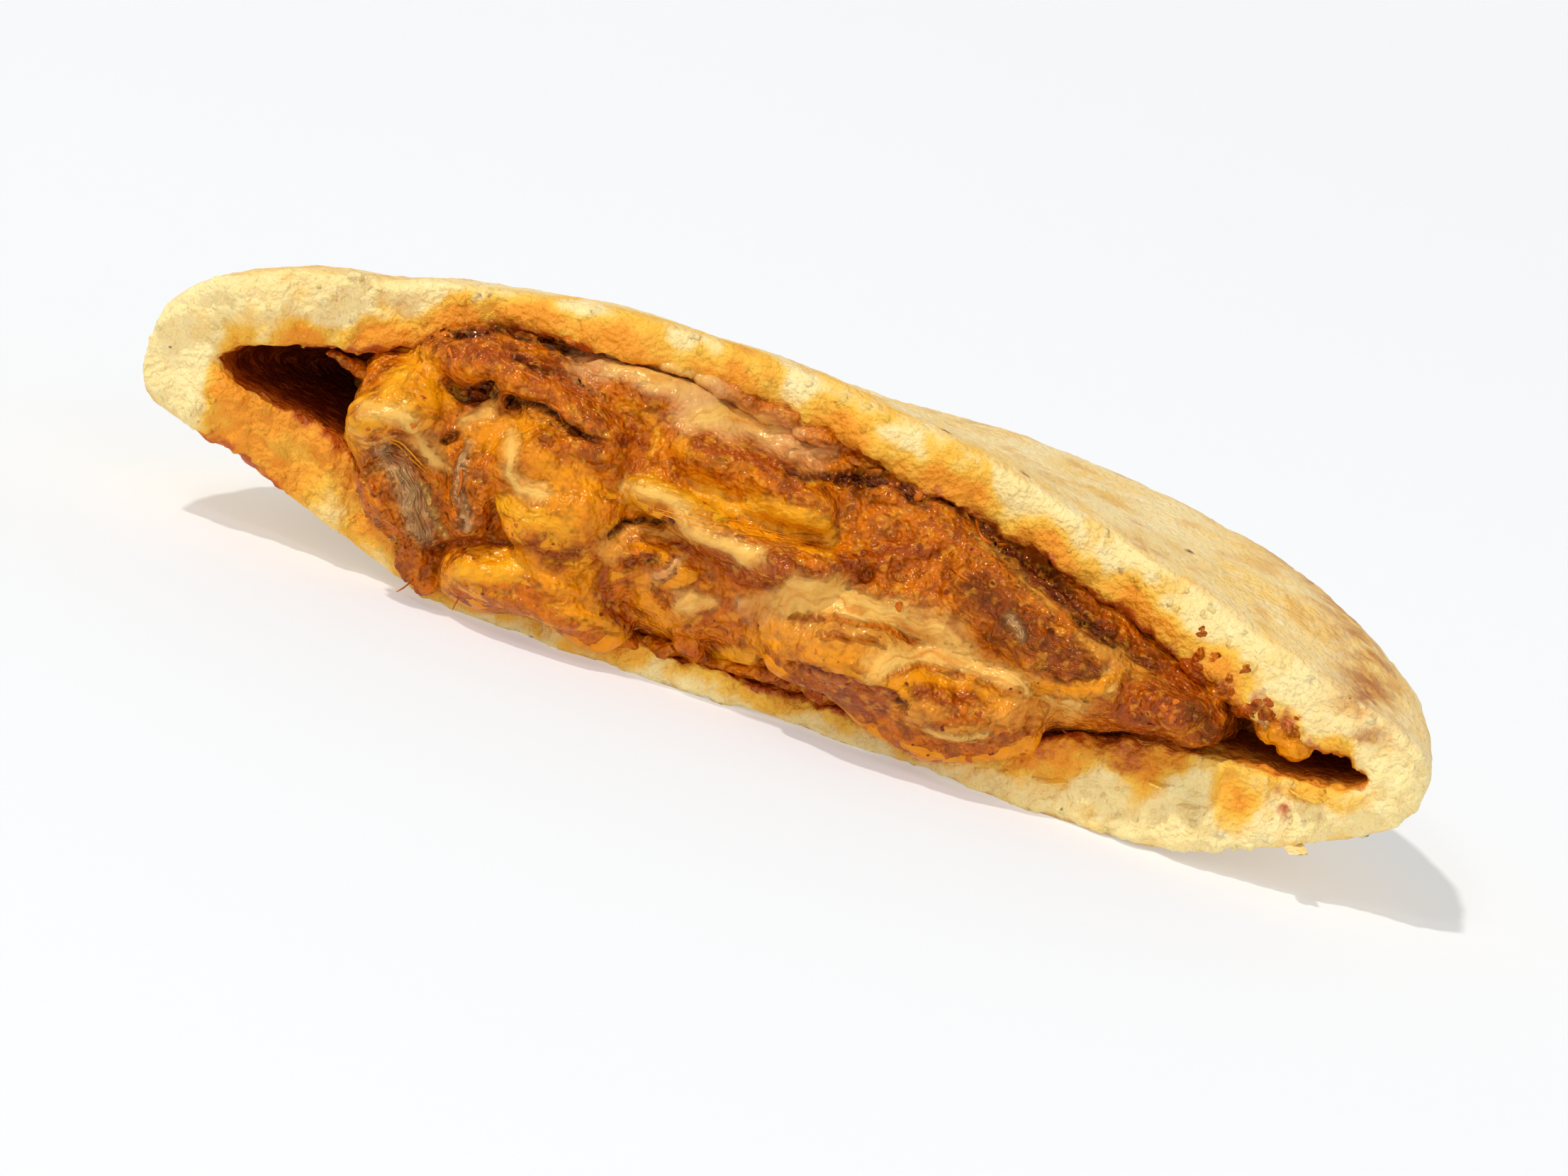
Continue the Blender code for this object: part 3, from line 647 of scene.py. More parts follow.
def filling_group():
    """The colour and relief of the filling, from the values painted on its pieces, with painted shade in its
    hollows and a painted highlight on its raised grains.
    """
    tree, given, result = node_group(
        "Filling",
        (
            ("Vector", "Vector", None),
            ("Orange", "Color", None),
            ("Rust", "Color", None),
            ("Dark", "Color", None),
            ("Sauciness", "Float", 0.0),
        ),
        ("Colour", "Height", "Roughness"),
    )
    if given:
        place = given["Vector"]
        sauce = compute(tree, "ADD", painted(tree, "sauce"), given["Sauciness"], clamp=True)
        hollow = painted(tree, "hollow")
        fibre = times(tree, painted(tree, "fibre"), painted(tree, "core"))
        cheese = times(tree, painted(tree, "cheese"), painted(tree, "core"))
        flow = add(tree, "CombineXYZ", {0: painted(tree, "run"), 1: painted(tree, "across")}).outputs[0]
        stretch = add(tree, "VectorMath", {0: flow, 1: (0.22, 1.9, 1.0)}, operation="MULTIPLY").outputs[0]
        streaks = noise_at(tree, stretch, 1.0, 2, 0.5)
        threads = noise_at(tree, stretch, 1 / 2.6, 1)
        grain = noise_at(tree, place, 0.62 * MM, 3)
        bead = noise_at(tree, place, 0.95 * MM, 1)
        fine = noise_at(tree, place, 0.34 * MM, 0)
        smudge = noise_at(tree, place, 1.8 * MM, 2, 0.4)
        broad = noise_at(tree, place, 4.5 * MM, 1, 0.6)
        base = add(tree, "Attribute", attribute_name="stain", attribute_type="GEOMETRY").outputs["Color"]
        smear = times(tree, between(tree, streaks, 0.42, 0.74), times(tree, cheese, 0.6))
        base = blend(tree, smear, base, given["Orange"])
        lines = times(tree, between(tree, threads, 0.56, 0.72), times(tree, fibre, 0.8))
        base = blend(tree, lines, base, given["Rust"])
        film = plus(tree, between(tree, smudge, 0.3, 0.75, -0.4, 0.4), times(tree, sauce, 0.5))
        film = plus(tree, film, times(tree, between(tree, broad, 0.3, 0.7, -0.5, 0.5), 0.4))
        film = compute(tree, "SUBTRACT", film, times(tree, cheese, 0.3))
        base = blend(tree, times(tree, between(tree, film, 0.1, 0.8), 0.6), base, given["Rust"])
        # Painted shade: the dark sauce colour laid over the hollows and creases where the lumps shade each
        # other, weaker on cheese
        crease_shade = between(tree, plus(tree, hollow, between(tree, smudge, 0.3, 0.7, -0.25, 0.25)), 0.15, 0.95)
        crease_shade_strength = compute(tree, "SUBTRACT", 0.88, times(tree, cheese, 0.45))
        base = blend(tree, times(tree, crease_shade, crease_shade_strength), base, given["Dark"])
        # Painted light: paler orange on the tops of the raised sauce grains
        crest_light = times(tree, between(tree, bead, 0.56, 0.72), times(tree, sauce, 0.35))
        base = blend(tree, crest_light, base, from_screen(236, 140, 16))
        mottle = between(tree, noise_at(tree, place, 1.3 * MM, 2, 0.3), 0.46, 0.66)
        base = blend(tree, times(tree, mottle, times(tree, sauce, 0.5)), base, given["Dark"])
        pale = between(tree, noise_at(tree, place, 1.0 * MM, 1, 0.3), 0.56, 0.7)
        pale = times(tree, pale, times(tree, sauce, 0.4))
        base = blend(tree, pale, base, from_screen(246, 166, 40))
        specks = times(tree, between(tree, grain, 0.64, 0.74), times(tree, sauce, 0.75))
        base = blend(tree, specks, base, given["Dark"])
        tree.links.new(base, result["Colour"])
        grained = plus(tree, bead, times(tree, fine, 0.28))
        grainy = times(tree, grained, between(tree, sauce, 0.0, 1.0, 0.12, 1.0))
        ribbed = times(tree, threads, fibre)
        swirled = times(tree, streaks, times(tree, cheese, 0.22))
        tree.links.new(plus(tree, plus(tree, grainy, ribbed), swirled), result["Height"])
        rough = plus(tree, between(tree, smudge, 0.3, 0.7, 0.12, 0.24), times(tree, cheese, 0.1))
        tree.links.new(rough, result["Roughness"])
    return tree


def use_group(tree, group, **inputs):
    node = add(tree, "Group", node_tree=group)
    for key, value in inputs.items():
        if isinstance(value, bpy.types.NodeSocket):
            tree.links.new(value, node.inputs[key.replace("_", " ")])
        else:
            node.inputs[key.replace("_", " ")].default_value = value
    return node.outputs


def new_material(name):
    made = bpy.data.materials.new(name)
    made.use_nodes = True
    return made, made.node_tree, made.node_tree.nodes["Principled BSDF"]


def set_shader(shader, **values):
    for key, value in values.items():
        shader.inputs[key.replace("_", " ")].default_value = value


def bump(tree, shader, height, distance, strength=1.0):
    inputs = {"Height": height, "Distance": distance, "Strength": strength}
    tree.links.new(add(tree, "Bump", inputs).outputs["Normal"], shader.inputs["Normal"])


def soft_inside(shader, weight, reach):
    """Lets light through the outer millimetres, as in cheese and dough."""
    shader.inputs["Subsurface Weight"].default_value = weight
    shader.inputs["Subsurface Radius"].default_value = (1.0, 0.45, 0.2)
    shader.inputs["Subsurface Scale"].default_value = reach


def masa_material(name, looks, griddled=True):
    """Masa: cream crumb, toasted where it was griddled, orange where the oil soaked in."""
    made, tree, shader = new_material(name)
    place = object_place(tree)
    crumb = use_group(tree, crumb_group(), Vector=place, Roughness=1.0)
    tint = between(tree, noise_at(tree, place, 11 * MM, 2), 0.35, 0.65)
    base = blend(tree, tint, looks.cream[:], looks.warm[:])
    base = blend(tree, times(tree, crumb["Pale grains"], 0.35), base, from_screen(250, 238, 206))
    if griddled:
        base = blend(tree, times(tree, painted(tree, "torn"), 0.65), base, from_screen(255, 230, 160))
        skin = painted(tree, "skin")
        mottle = between(tree, noise_at(tree, place, 4.5 * MM, 3, 0.3), 0.5, 0.72)
        base = blend(tree, times(tree, times(tree, mottle, skin), 0.6), base, looks.tan[:])
        patch = between(tree, noise_at(tree, place, 17 * MM, 3, 0.5), 0.6, 0.74)
        fine = between(tree, noise_at(tree, place, 1.6 * MM, 2), 0.38, 0.6)
        patch = times(tree, times(tree, patch, fine), skin)
        base = blend(tree, times(tree, patch, 0.5), base, looks.brown[:])
        browned = between(tree, noise_at(tree, place, 3 * MM, 2), 0.28, 0.56)
        toast = times(tree, painted(tree, "toast"), browned)
        base = blend(tree, toast, base, blend(tree, fine, looks.tan[:], looks.brown[:]))
        specks = use_group(tree, speck_group(), Vector=place, Spacing=4.2, Size=0.05)["Mask"]
        base = blend(tree, times(tree, specks, 0.75), base, from_screen(96, 52, 24))
        base = blend(tree, painted(tree, "scorch"), base, from_screen(132, 72, 30))
    uneven = between(tree, noise_at(tree, place, 3.2 * MM, 3), 0.3, 0.7, -0.25, 0.25)
    soak = plus(tree, painted(tree, "oil"), uneven)
    base = blend(tree, between(tree, soak, 0.05, 0.55), base, looks.stain[:])
    base = blend(tree, between(tree, soak, 0.45, 1.0), base, looks.oil[:])
    uneven = between(tree, noise_at(tree, place, 1.4 * MM, 2), 0.3, 0.7, -0.25, 0.25)
    deep = plus(tree, painted(tree, "sauce"), uneven)
    base = blend(tree, between(tree, deep, 0.25, 0.85), base, looks.rust[:])
    # The hollow's wall, sauce-soaked and darker deeper in: painted shade over the real stain
    base = blend(tree, between(tree, deep, 0.95, 1.25), base, looks.pocket[:])
    tree.links.new(base, shader.inputs["Base Color"])
    tree.links.new(between(tree, deep, 0.3, 1.0, 0.66, 0.34), shader.inputs["Roughness"])
    bump(tree, shader, crumb["Height"], 1.1 * MM, 0.8)
    soft_inside(shader, 0.2, 3 * MM)
    return made


def filling_material(name, looks, sauciness=0.0, softness=0.2):
    """The wet filling: cheese, beef and sauce wherever they are painted."""
    made, tree, shader = new_material(name)
    look = use_group(
        tree,
        filling_group(),
        Vector=object_place(tree),
        Orange=(*looks.orange, 1.0),
        Rust=(*looks.rust, 1.0),
        Dark=(*looks.dark_sauce_and_shade, 1.0),
        Sauciness=sauciness,
    )
    tree.links.new(look["Colour"], shader.inputs["Base Color"])
    tree.links.new(look["Roughness"], shader.inputs["Roughness"])
    bump(tree, shader, look["Height"], 1.0 * MM, 0.95)
    set_shader(shader, Specular_IOR_Level=0.45, Specular_Tint=WARM_GLOSS)
    soft_inside(shader, softness, 2.5 * MM)
    return made


def plain_wet_material(name, first, second, size, roughness=0.2):
    """A small wet thing whose colour wanders between two."""
    made, tree, shader = new_material(name)
    place = object_place(tree)
    wander = between(tree, noise_at(tree, place, size, 3), 0.35, 0.65)
    tree.links.new(blend(tree, wander, tuple(first), tuple(second)), shader.inputs["Base Color"])
    tree.links.new(between(tree, wander, 0.0, 1.0, roughness, roughness + 0.15), shader.inputs["Roughness"])
    bump(tree, shader, noise_at(tree, place, 0.4 * MM, 3), 0.2 * MM, 0.6)
    set_shader(shader, Specular_IOR_Level=0.5, Specular_Tint=WARM_GLOSS)
    return made


# Shaping helpers


def flow_turn(node):
    """The direction in which a CAD node runs on the broken face, as an angle from +X towards +Z."""
    points = points_of(frame["nodes"][node])[:, (0, 2)]
    points = points - points.mean(0)
    values, vectors = np.linalg.eigh(points.T @ points)
    main = vectors[:, values.argmax()]
    return math.atan2(main[1], main[0])


def flow_relief(piece, turn, along, across, height, ridged=False, seed=0.0):
    """Ridges and furrows that run along a direction on the broken face."""
    points = points_of(piece)
    u = points[:, 0] * math.cos(turn) + points[:, 2] * math.sin(turn)
    v = points[:, 2] * math.cos(turn) - points[:, 0] * math.sin(turn)
    values = noise_values(np.stack((u / along, v / across, points[:, 1] / across), 1) + seed)
    if ridged:
        values = 0.5 - 2 * np.abs(values)
    place_points(piece, points + normals_of(piece) * (values * height)[:, None])


def along_path(flat, path):
    """For each place: how far it lies from a path, how far along the path, and on which side."""
    best = np.full(len(flat), np.inf)
    run, side = np.zeros(len(flat)), np.zeros(len(flat))
    done = 0.0
    for start, end in zip(path, path[1:]):
        start, end = np.array(start), np.array(end)
        reach = np.linalg.norm(end - start)
        onward = (end - start) / reach
        t = np.clip((flat - start) @ onward, 0, reach)
        off = flat - start - t[:, None] * onward
        away = np.linalg.norm(off, axis=1)
        nearer = away < best
        best = np.where(nearer, away, best)
        run = np.where(nearer, done + t, run)
        side = np.where(nearer, np.sign(off @ np.array((-onward[1], onward[0]))) * away, side)
        done += reach
    return best, run, side


def as_seen(points):
    """Where points show on the broken face, as (along, height) in millimetres."""
    depth = points[:, 1] - BREAK_Y
    return np.stack((points[:, 0] + SLANT[0] * depth, points[:, 2] + SLANT[1] * depth), 1) / MM


def lay_streaks(piece, looks, first, sauciness):
    """Raises and paints the streaks of cheese, beef and sauce on a piece, over a first kind."""
    points = points_of(piece)
    flat = as_seen(points)
    wander = np.zeros_like(flat)
    for size, sway in ((2.4, 1.0), (0.9, 0.5)):
        for axis, seed in enumerate((1.5, 7.5)):
            wander[:, axis] += sway * noise_values(np.stack((*(flat / size).T, np.full(len(flat), seed)), 1))
    stain = np.tile(np.array(getattr(looks, first)), (len(points), 1))
    values = np.tile(np.array(KINDS[first], dtype=float), (len(points), 1))
    rise = np.zeros(len(points))
    run, across = flat[:, 0].copy(), flat[:, 1].copy()
    core = np.ones(len(points))
    ragged = 0.45 * noise_values(np.stack((*(flat / (3.2, 1.1)).T, np.full(len(flat), 4.5)), 1))
    for index, (kind, path, half_width, lift) in enumerate(STREAKS):
        away, on, side = along_path(flat + wander * min(half_width, 1.1), path)
        away /= half_width
        soft = kind in ("cream", "pink", "yellow")
        weight = 1 - (step(0.0, 2.1, away + ragged) if soft else step(0.25, 1.6, away + 0.5 * ragged))
        stain += (np.array(getattr(looks, kind)) - stain) * weight[:, None]
        values += (np.array(KINDS[kind]) - values) * weight[:, None]
        rise += (lift * np.exp(-(away**2)) - rise) * weight
        inside = weight > 0.35
        run = np.where(inside, on + index * 17.3, run)
        across = np.where(inside, side + index * 3.1, across)
        core = np.where(inside, step(0.4, 0.85, weight), core * (1 - step(0.0, 0.35, weight)))
    normals = normals_of(piece)
    front = np.clip(-normals[:, 1], 0, 1) * step(BREAK_Y + 12 * MM, BREAK_Y + 7 * MM, points[:, 1])
    place_points(piece, points + normals * (rise * looks.stand * front * MM)[:, None])
    colours = np.ones((len(points), 4), np.float32)
    colours[:, :3] = stain
    attribute = piece.data.attributes.new("stain", "FLOAT_COLOR", "POINT")
    attribute.data.foreach_set("color", colours.ravel())
    set_attribute(piece.data, "cheese", values[:, 0])
    set_attribute(piece.data, "fibre", values[:, 1])
    set_attribute(piece.data, "sauce", np.clip(values[:, 2] + sauciness, 0, 1))
    set_attribute(piece.data, "run", run)
    set_attribute(piece.data, "across", across)
    set_attribute(piece.data, "core", core)


def paint_hollow_shade(piece, times, near, far):
    """Paints where the surface lies hollow: the mask for the painted shade in its hollows and creases."""
    points, normals = points_of(piece), normals_of(piece)
    make_active(piece)
    bpy.ops.object.duplicate()
    softened = bpy.context.active_object
    smooth(softened, times)
    hollow = ((points_of(softened) - points) * normals).sum(1)
    bpy.data.objects.remove(softened)
    set_attribute(piece.data, "hollow", step(near, far, hollow))


def thin_hidden(piece, weights, ratio):
    """Takes faces away where nothing shows."""
    group = make_group(piece, "hidden", weights)
    modify(piece, "DECIMATE", ratio=ratio, vertex_group=group, vertex_group_factor=10.0)
    piece.vertex_groups.clear()


def unit_strand(sides=5, cuts=9):
    """A straight strand, one unit long up Z and one unit in radius, ready to be laid along a path."""
    deselect()
    bpy.ops.mesh.primitive_cylinder_add(
        vertices=sides, radius=1, depth=1, end_fill_type="TRIFAN", location=(0, 0, 0.5)
    )
    strand = bpy.context.active_object
    bpy.ops.object.transform_apply(location=True, rotation=True, scale=True)
    bpy.ops.object.mode_set(mode="EDIT")
    bpy.ops.mesh.select_all(action="DESELECT")
    bpy.ops.mesh.select_mode(type="EDGE")
    bpy.ops.object.mode_set(mode="OBJECT")
    ends = [vertex.co.z for vertex in strand.data.vertices]
    for edge in strand.data.edges:
        edge.select = abs(ends[edge.vertices[0]] - ends[edge.vertices[1]]) > 0.5
    bpy.ops.object.mode_set(mode="EDIT")
    bpy.ops.mesh.subdivide(number_cuts=cuts)
    bpy.ops.object.mode_set(mode="OBJECT")
    return strand


def curve_at(path, t):
    """A point on a smooth curve through the path, for t from 0 to 1."""
    p = [path[0] * 2 - path[1], *path, path[-1] * 2 - path[-2]]
    at = min(t, 0.9999) * (len(p) - 3)
    i = int(at)
    t = at - i
    a, b, c, d = p[i : i + 4]
    return 0.5 * (2 * b + (c - a) * t + (2 * a - 5 * b + 4 * c - d) * t**2 + (3 * b - a - 3 * c + d) * t**3)


def lay_strand(strand, path, radius, flat=1.0, tip=0.25):
    """A copy of the unit strand laid along a path, thinner at its tips."""
    copy = bpy.data.objects.new("strand", strand.data.copy())
    bpy.context.collection.objects.link(copy)
    for vertex in copy.data.vertices:
        t = min(max(vertex.co.z, 0.0), 1.0)
        here = curve_at(path, t)
        onward = (curve_at(path, min(t + 0.02, 1)) - curve_at(path, max(t - 0.02, 0))).normalized()
        side = onward.cross(Vector((0, 1, 0))).normalized()
        out = side.cross(onward)
        width = radius * (tip + (1 - tip) * math.sin(math.pi * min(max(t, 0.03), 0.97)) ** 0.6)
        vertex.co = here + side * (vertex.co.x * width) + out * (vertex.co.y * width * flat)
    return copy


def join(name, pieces):
    """Joins pieces into one, with its place in its mesh."""
    deselect()
    for piece in pieces:
        piece.select_set(True)
    bpy.context.view_layer.objects.active = pieces[0]
    bpy.ops.object.transform_apply(location=True, rotation=True, scale=True)
    bpy.ops.object.join()
    joined = bpy.context.active_object
    joined.name = joined.data.name = name
    return joined


def rough_pebble(seed, squash=1.0, ragged=0.35):
    """A small uneven lump of unit radius."""
    deselect()
    bpy.ops.mesh.primitive_ico_sphere_add(subdivisions=2, radius=1)
    pebble = bpy.context.active_object
    for vertex in pebble.data.vertices:
        vertex.co *= 1 + ragged * noise.noise(vertex.co * 1.3 + Vector((seed, 0, 0)))
        vertex.co.z *= squash
    return pebble


def thin_flake(seed, bend=0.35):
    """A thin uneven flake, one unit long, lying in XY."""
    deselect()
    bpy.ops.mesh.primitive_grid_add(x_subdivisions=6, y_subdivisions=5, size=1)
    flake = bpy.context.active_object
    for vertex in flake.data.vertices:
        ragged = 1 + 0.5 * noise.noise(vertex.co * 2.1 + Vector((seed, 3, 0)))
        vertex.co.x *= ragged
        vertex.co.y *= 0.8 * ragged
        vertex.co.z = bend * vertex.co.x**2 + 0.12 * noise.noise(vertex.co * 3 + Vector((seed, 0, 7)))
    modify(flake, "SOLIDIFY", thickness=0.11, offset=0.0)
    return flake


def scatter(name, templates, spots):
    """Copies of some small shapes, joined. Each spot is (place, facing, size, turn, painted values)."""
    copies = []
    for index, (place, facing, size, turn, values) in enumerate(spots):
        copy = bpy.data.objects.new(name, templates[index % len(templates)].data.copy())
        bpy.context.collection.objects.link(copy)
        upright = facing.to_track_quat("Z", "Y").to_matrix().to_4x4()
        turned = upright @ Matrix.Rotation(turn, 4, "Z")
        copy.matrix_world = Matrix.Translation(place) @ turned @ Matrix.Diagonal((*size, 1))
        for key, value in values.items():
            set_attribute(copy.data, key, [value] * len(copy.data.vertices))
        copies.append(copy)
    return join(name, copies)


def discard(pieces):
    for piece in pieces:
        bpy.data.objects.remove(piece)


def made_pieces(*starts):
    """The finished pieces whose names start so."""
    return [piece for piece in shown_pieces() if "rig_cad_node" not in piece and piece.name.startswith(starts)]


def onto(surface, along, height, off=0.0):
    """The place on a surface straight behind a place on the broken face, and its normal, or None."""
    start = face_point(along, height, -20)
    hit, normal, _, _ = surface.ray_cast(start, Vector((0, 1, 0)), 45 * MM)
    if hit is None:
        return None
    return hit + normal * off, normal


# The pieces


class PUPUSA_OT_crust(bpy.types.Operator):
    """Shape the masa crust: soft skin, ragged torn lips, and stains where the filling touched it, darkened
    deep in the hollow as painted shade
    """

    bl_idname = "pupusa.crust"
    bl_label = "Crust"

    # Places on the broken face that the oil or the sauce soaked, as (along, height, radius)
    OIL_PLACES = (
        # round the pocket, and down the bottom lip beside it
        (-50, 14.0, 2.0), (-45.5, 19.0, 2.0), (-39, 20.8, 2.4), (-33, 24.0, 2.6), (-50, 11.5, 3.6),
        (-46, 9.5, 6.0), (-42, 6.5, 6.0), (-40, 8.0, 5.5), (-35, 5.0, 4.5), (-30, 2.4, 3.0),
        # along the top lip
        (-27, 27, 4), (-18, 28, 4), (-8, 28, 4), (2, 26.5, 4), (12, 24, 4), (21, 21.5, 3.5), (30, 18.5, 3),
        (38, 15.5, 3),
        # under the slit
        (27, 5.5, 3), (35, 7, 2.5), (43, 6.5, 2),
    )
    SAUCE_PLACES = (
        (26, 5.6, 1.8), (33, 7.6, 2.4), (36, 15.6, 1.8), (39, 14.6, 2.2), (42, 13.8, 2.4), (45, 13.4, 2.4),
        (47.5, 12.4, 2.0), (22, 20.4, 1.6), (11, 23, 1.4), (28, 17.8, 1.4), (47, 7.5, 1.6),
    )
    # Small scorched marks on the skin, as (along, height, depth, half width)
    SCORCHES = (
        (-11, 29.9, -1.0, 0.7),
        (10.0, 27.5, 2.0, 0.5),
        (17.5, 26.0, 3.0, 0.4),
        (32.3, 21.0, 12.0, 0.42),
        (18, 26.5, 18.0, 0.4),
    )

    def execute(self, context):
        looks = context.scene.pupusa_crust
        piece = merged_copy("masa_crust", "griddled_crust")
        remesh(piece, looks.grain)
        smooth(piece, 9)
        points, normals = points_of(piece), normals_of(piece)
        inner = self.faces_the_hollow(piece, points, normals)
        points = self.fill_out_back(piece, looks, points, normals, inner)
        hollow = tree_of(points[inner])
        away = np.array([hollow.find(point)[2] for point in points.tolist()])
        torn = step(0.2, 0.6, -normals[:, 1]) * step(BREAK_Y + 5 * MM, BREAK_Y + 2.5 * MM, points[:, 1])
        torn = np.where(inner, step(BREAK_Y + 6 * MM, BREAK_Y + 1 * MM, points[:, 1]), torn)
        top_lip = (points[:, 2] > RIM_HEIGHT) * step(-36 * MM, -26 * MM, points[:, 0])
        top_lip *= step(50 * MM, 44 * MM, points[:, 0])
        self.round_top_lip(piece, points, top_lip, away)
        self.tear(piece, looks, torn * (1 - 0.65 * top_lip * step(0.8 * MM, 2.6 * MM, away)), inner)
        self.paint(piece, points, normals, inner, away, torn)
        hidden = step(BREAK_Y + 20 * MM, BREAK_Y + 26 * MM, points[:, 1]) * inner
        thin_hidden(piece, hidden, 0.8)
        finish_piece(piece, masa_material("griddled masa", looks), "masa", "masa_crust")
        return {"FINISHED"}

    def faces_the_hollow(self, piece, points, normals):
        """Which points lie on the hollow's wall: straight out of it is the crust or the filling again."""
        crust = surface_of([piece.data])
        filling = surface_of([frame["nodes"][name].data for name in FILLING_NODES])
        starts = (points + normals * 0.15 * MM).tolist()
        reach, least = 26 * MM, 0.9 * MM
        found = np.zeros(len(points), bool)
        for index, (start, normal) in enumerate(zip(starts, normals.tolist())):
            away = crust.ray_cast(start, normal, reach)[3]
            across = away is not None and away > least
            found[index] = across or filling.ray_cast(start, normal, reach)[0] is not None
        behind = points[:, 1] - BREAK_Y
        within = np.hypot(points[:, 0] / HALF_WIDTH, behind / DEPTH) < 0.9
        ceiling = (normals[:, 2] < -0.3) & (points[:, 2] > 5 * MM) & within
        floor = (normals[:, 2] > 0.35) & (points[:, 2] < 12 * MM) & within
        back = (normals[:, 1] < -0.3) & (behind > 3 * MM) & within
        found |= back | ((ceiling | floor) & (behind > 1 * MM))
        deep = np.flatnonzero(found & (behind > 4 * MM))
        found[deep] = [not self.sees_out(crust, Vector(starts[index])) for index in deep]
        return settled(piece, found & (behind > -3 * MM), 12)

    def sees_out(self, crust, point):
        """Whether nothing of the crust is straight above, below or outward of a point."""
        outward = Vector((point.x / HALF_WIDTH, (point.y - BREAK_Y) / DEPTH, 0)).normalized()
        return any(crust.ray_cast(point, way)[0] is None for way in (UP, -UP, outward))

    def fill_out_back(self, piece, looks, points, normals, inner):
        """Fills out the shoulder of the skin at the back, on the right."""
        behind = points[:, 1] - BREAK_Y
        radius = np.hypot(points[:, 0] / HALF_WIDTH, np.maximum(behind, 0) / DEPTH)
        shoulder = bell(radius, 0.82, 0.17) * step(0.35, 0.8, normals[:, 2]) * ~inner
        shoulder *= step(-20 * MM, 25 * MM, points[:, 0]) * step(4 * MM, 14 * MM, behind)
        moved = points + normals * (shoulder * looks.shoulder)[:, None]
        place_points(piece, moved)
        return moved

    def round_top_lip(self, piece, points, top_lip, away):
        """Rolls the skin softly over the edge of the top lip."""
        near = bell(points[:, 1], BREAK_Y, 5 * MM)
        soft = make_group(piece, "soft", top_lip * near * step(0.8 * MM, 2.4 * MM, away))
        modify(piece, "SMOOTH", factor=0.5, iterations=60, vertex_group=soft)
        piece.vertex_groups.clear()

    def tear(self, piece, looks, torn, inner):
        """Raises the crumb of the skin and pulls the torn lips ragged."""
        points = points_of(piece)
        normals = normals_of(piece)
        lips = make_group(piece, "torn", np.clip(torn, 0, 1))
        skin = np.clip(1 - torn, 0, 1) * np.where(inner, 0.4, 1.0)
        outer = make_group(piece, "skin", skin)
        relief(piece, clouds("broad dents", 9 * MM, 1), looks.dent_height, outer)
        relief(piece, clouds("skin crumb", 1.3 * MM, 2), looks.crumb_height, outer)
        relief(piece, clouds("ragged lips", 2.4 * MM, 3, coloured=True), looks.tear_height, lips)
        relief(piece, clouds("torn crumb", 0.9 * MM, 2), looks.tear_height * 0.5, lips)
        piece.vertex_groups.clear()
        moved = points_of(piece)
        around = np.arctan2(points[:, 1] - BREAK_Y, points[:, 0]) * HALF_WIDTH
        upright = step(0.15, 0.6, np.hypot(normals[:, 0], normals[:, 1]))
        low_rim = bell(points[:, 2], 4.5 * MM, 3.2 * MM) * upright
        spread = np.stack((around / (2.6 * MM), points[:, 2] / (9 * MM), np.zeros(len(points))), 1)
        crinkle = noise_values(spread)
        crinkle *= low_rim * (points[:, 1] > BREAK_Y + 3 * MM) * ~inner
        moved += normals * (crinkle * 0.9 * MM)[:, None]
        moved[:, 2] = np.maximum(moved[:, 2], 0.0)
        room = 1.2 * MM
        moved[:, 0] = np.clip(moved[:, 0], CRUST_LOW.x - room, CRUST_HIGH.x + room)
        moved[:, 2] = np.minimum(moved[:, 2], CRUST_HIGH.z + 0.7 * MM)
        place_points(piece, moved)

    def paint(self, piece, points, normals, inner, away, torn):
        """Paints the values that the masa's material reads."""
        along, height = points[:, 0] / MM, points[:, 2] / MM
        behind = points[:, 1] - BREAK_Y
        radius = np.hypot(points[:, 0] / HALF_WIDTH, np.maximum(behind, 0) / DEPTH)
        skin = (1 - torn) * ~inner * step(0.35, 0.85, np.abs(normals[:, 2]))
        top = height > RIM_HEIGHT / MM + 2
        ring = bell(radius, 0.88, 0.05) * top * step(-25, 15, along)
        under = (~top) * step(0.9, 1.0, -normals[:, 2]) * 0.45
        near_break = step(9 * MM, 0.0, behind)
        soaked = near_places(points, self.OIL_PLACES)
        oil = np.maximum(step(3.4 * MM, 0.4 * MM, away) * 0.55 + soaked * 0.75, 0) * near_break
        oil *= step(-54, -50, along) * step(55, 50, along)
        oil = np.where(inner, 1.0, oil)
        spilled = near_places(points, self.SAUCE_PLACES) * step(12 * MM, 4 * MM, behind) * 0.58
        # The hollow's wall is soaked with sauce, and more so deeper in: the deeper darkening is painted shade.
        # The same at the slit on the right.
        sauce = np.where(inner, 0.72 + step(1 * MM, 8 * MM, behind) * 0.5, spilled)
        sauce = np.where(inner & (along > 34), 0.42 + step(3 * MM, 9 * MM, behind) * 0.5, sauce)
        sauce = np.maximum(sauce, step(0.9 * MM, 0.1 * MM, away) * near_break * 0.45)
        scorch = np.zeros(len(points))
        for x, z, depth, size in self.SCORCHES:
            gone = np.hypot((along - x) / 1.6, behind / MM - depth) / size
            scorch = np.maximum(scorch, step(1.0, 0.6, gone) * (height > z - 4))
        toast = np.clip(ring + under, 0, 1)
        shares = {"skin": skin, "toast": toast, "oil": oil, "sauce": sauce, "scorch": scorch, "torn": torn}
        for name, values in shares.items():
            set_attribute(piece.data, name, np.clip(values, 0, 1.3))


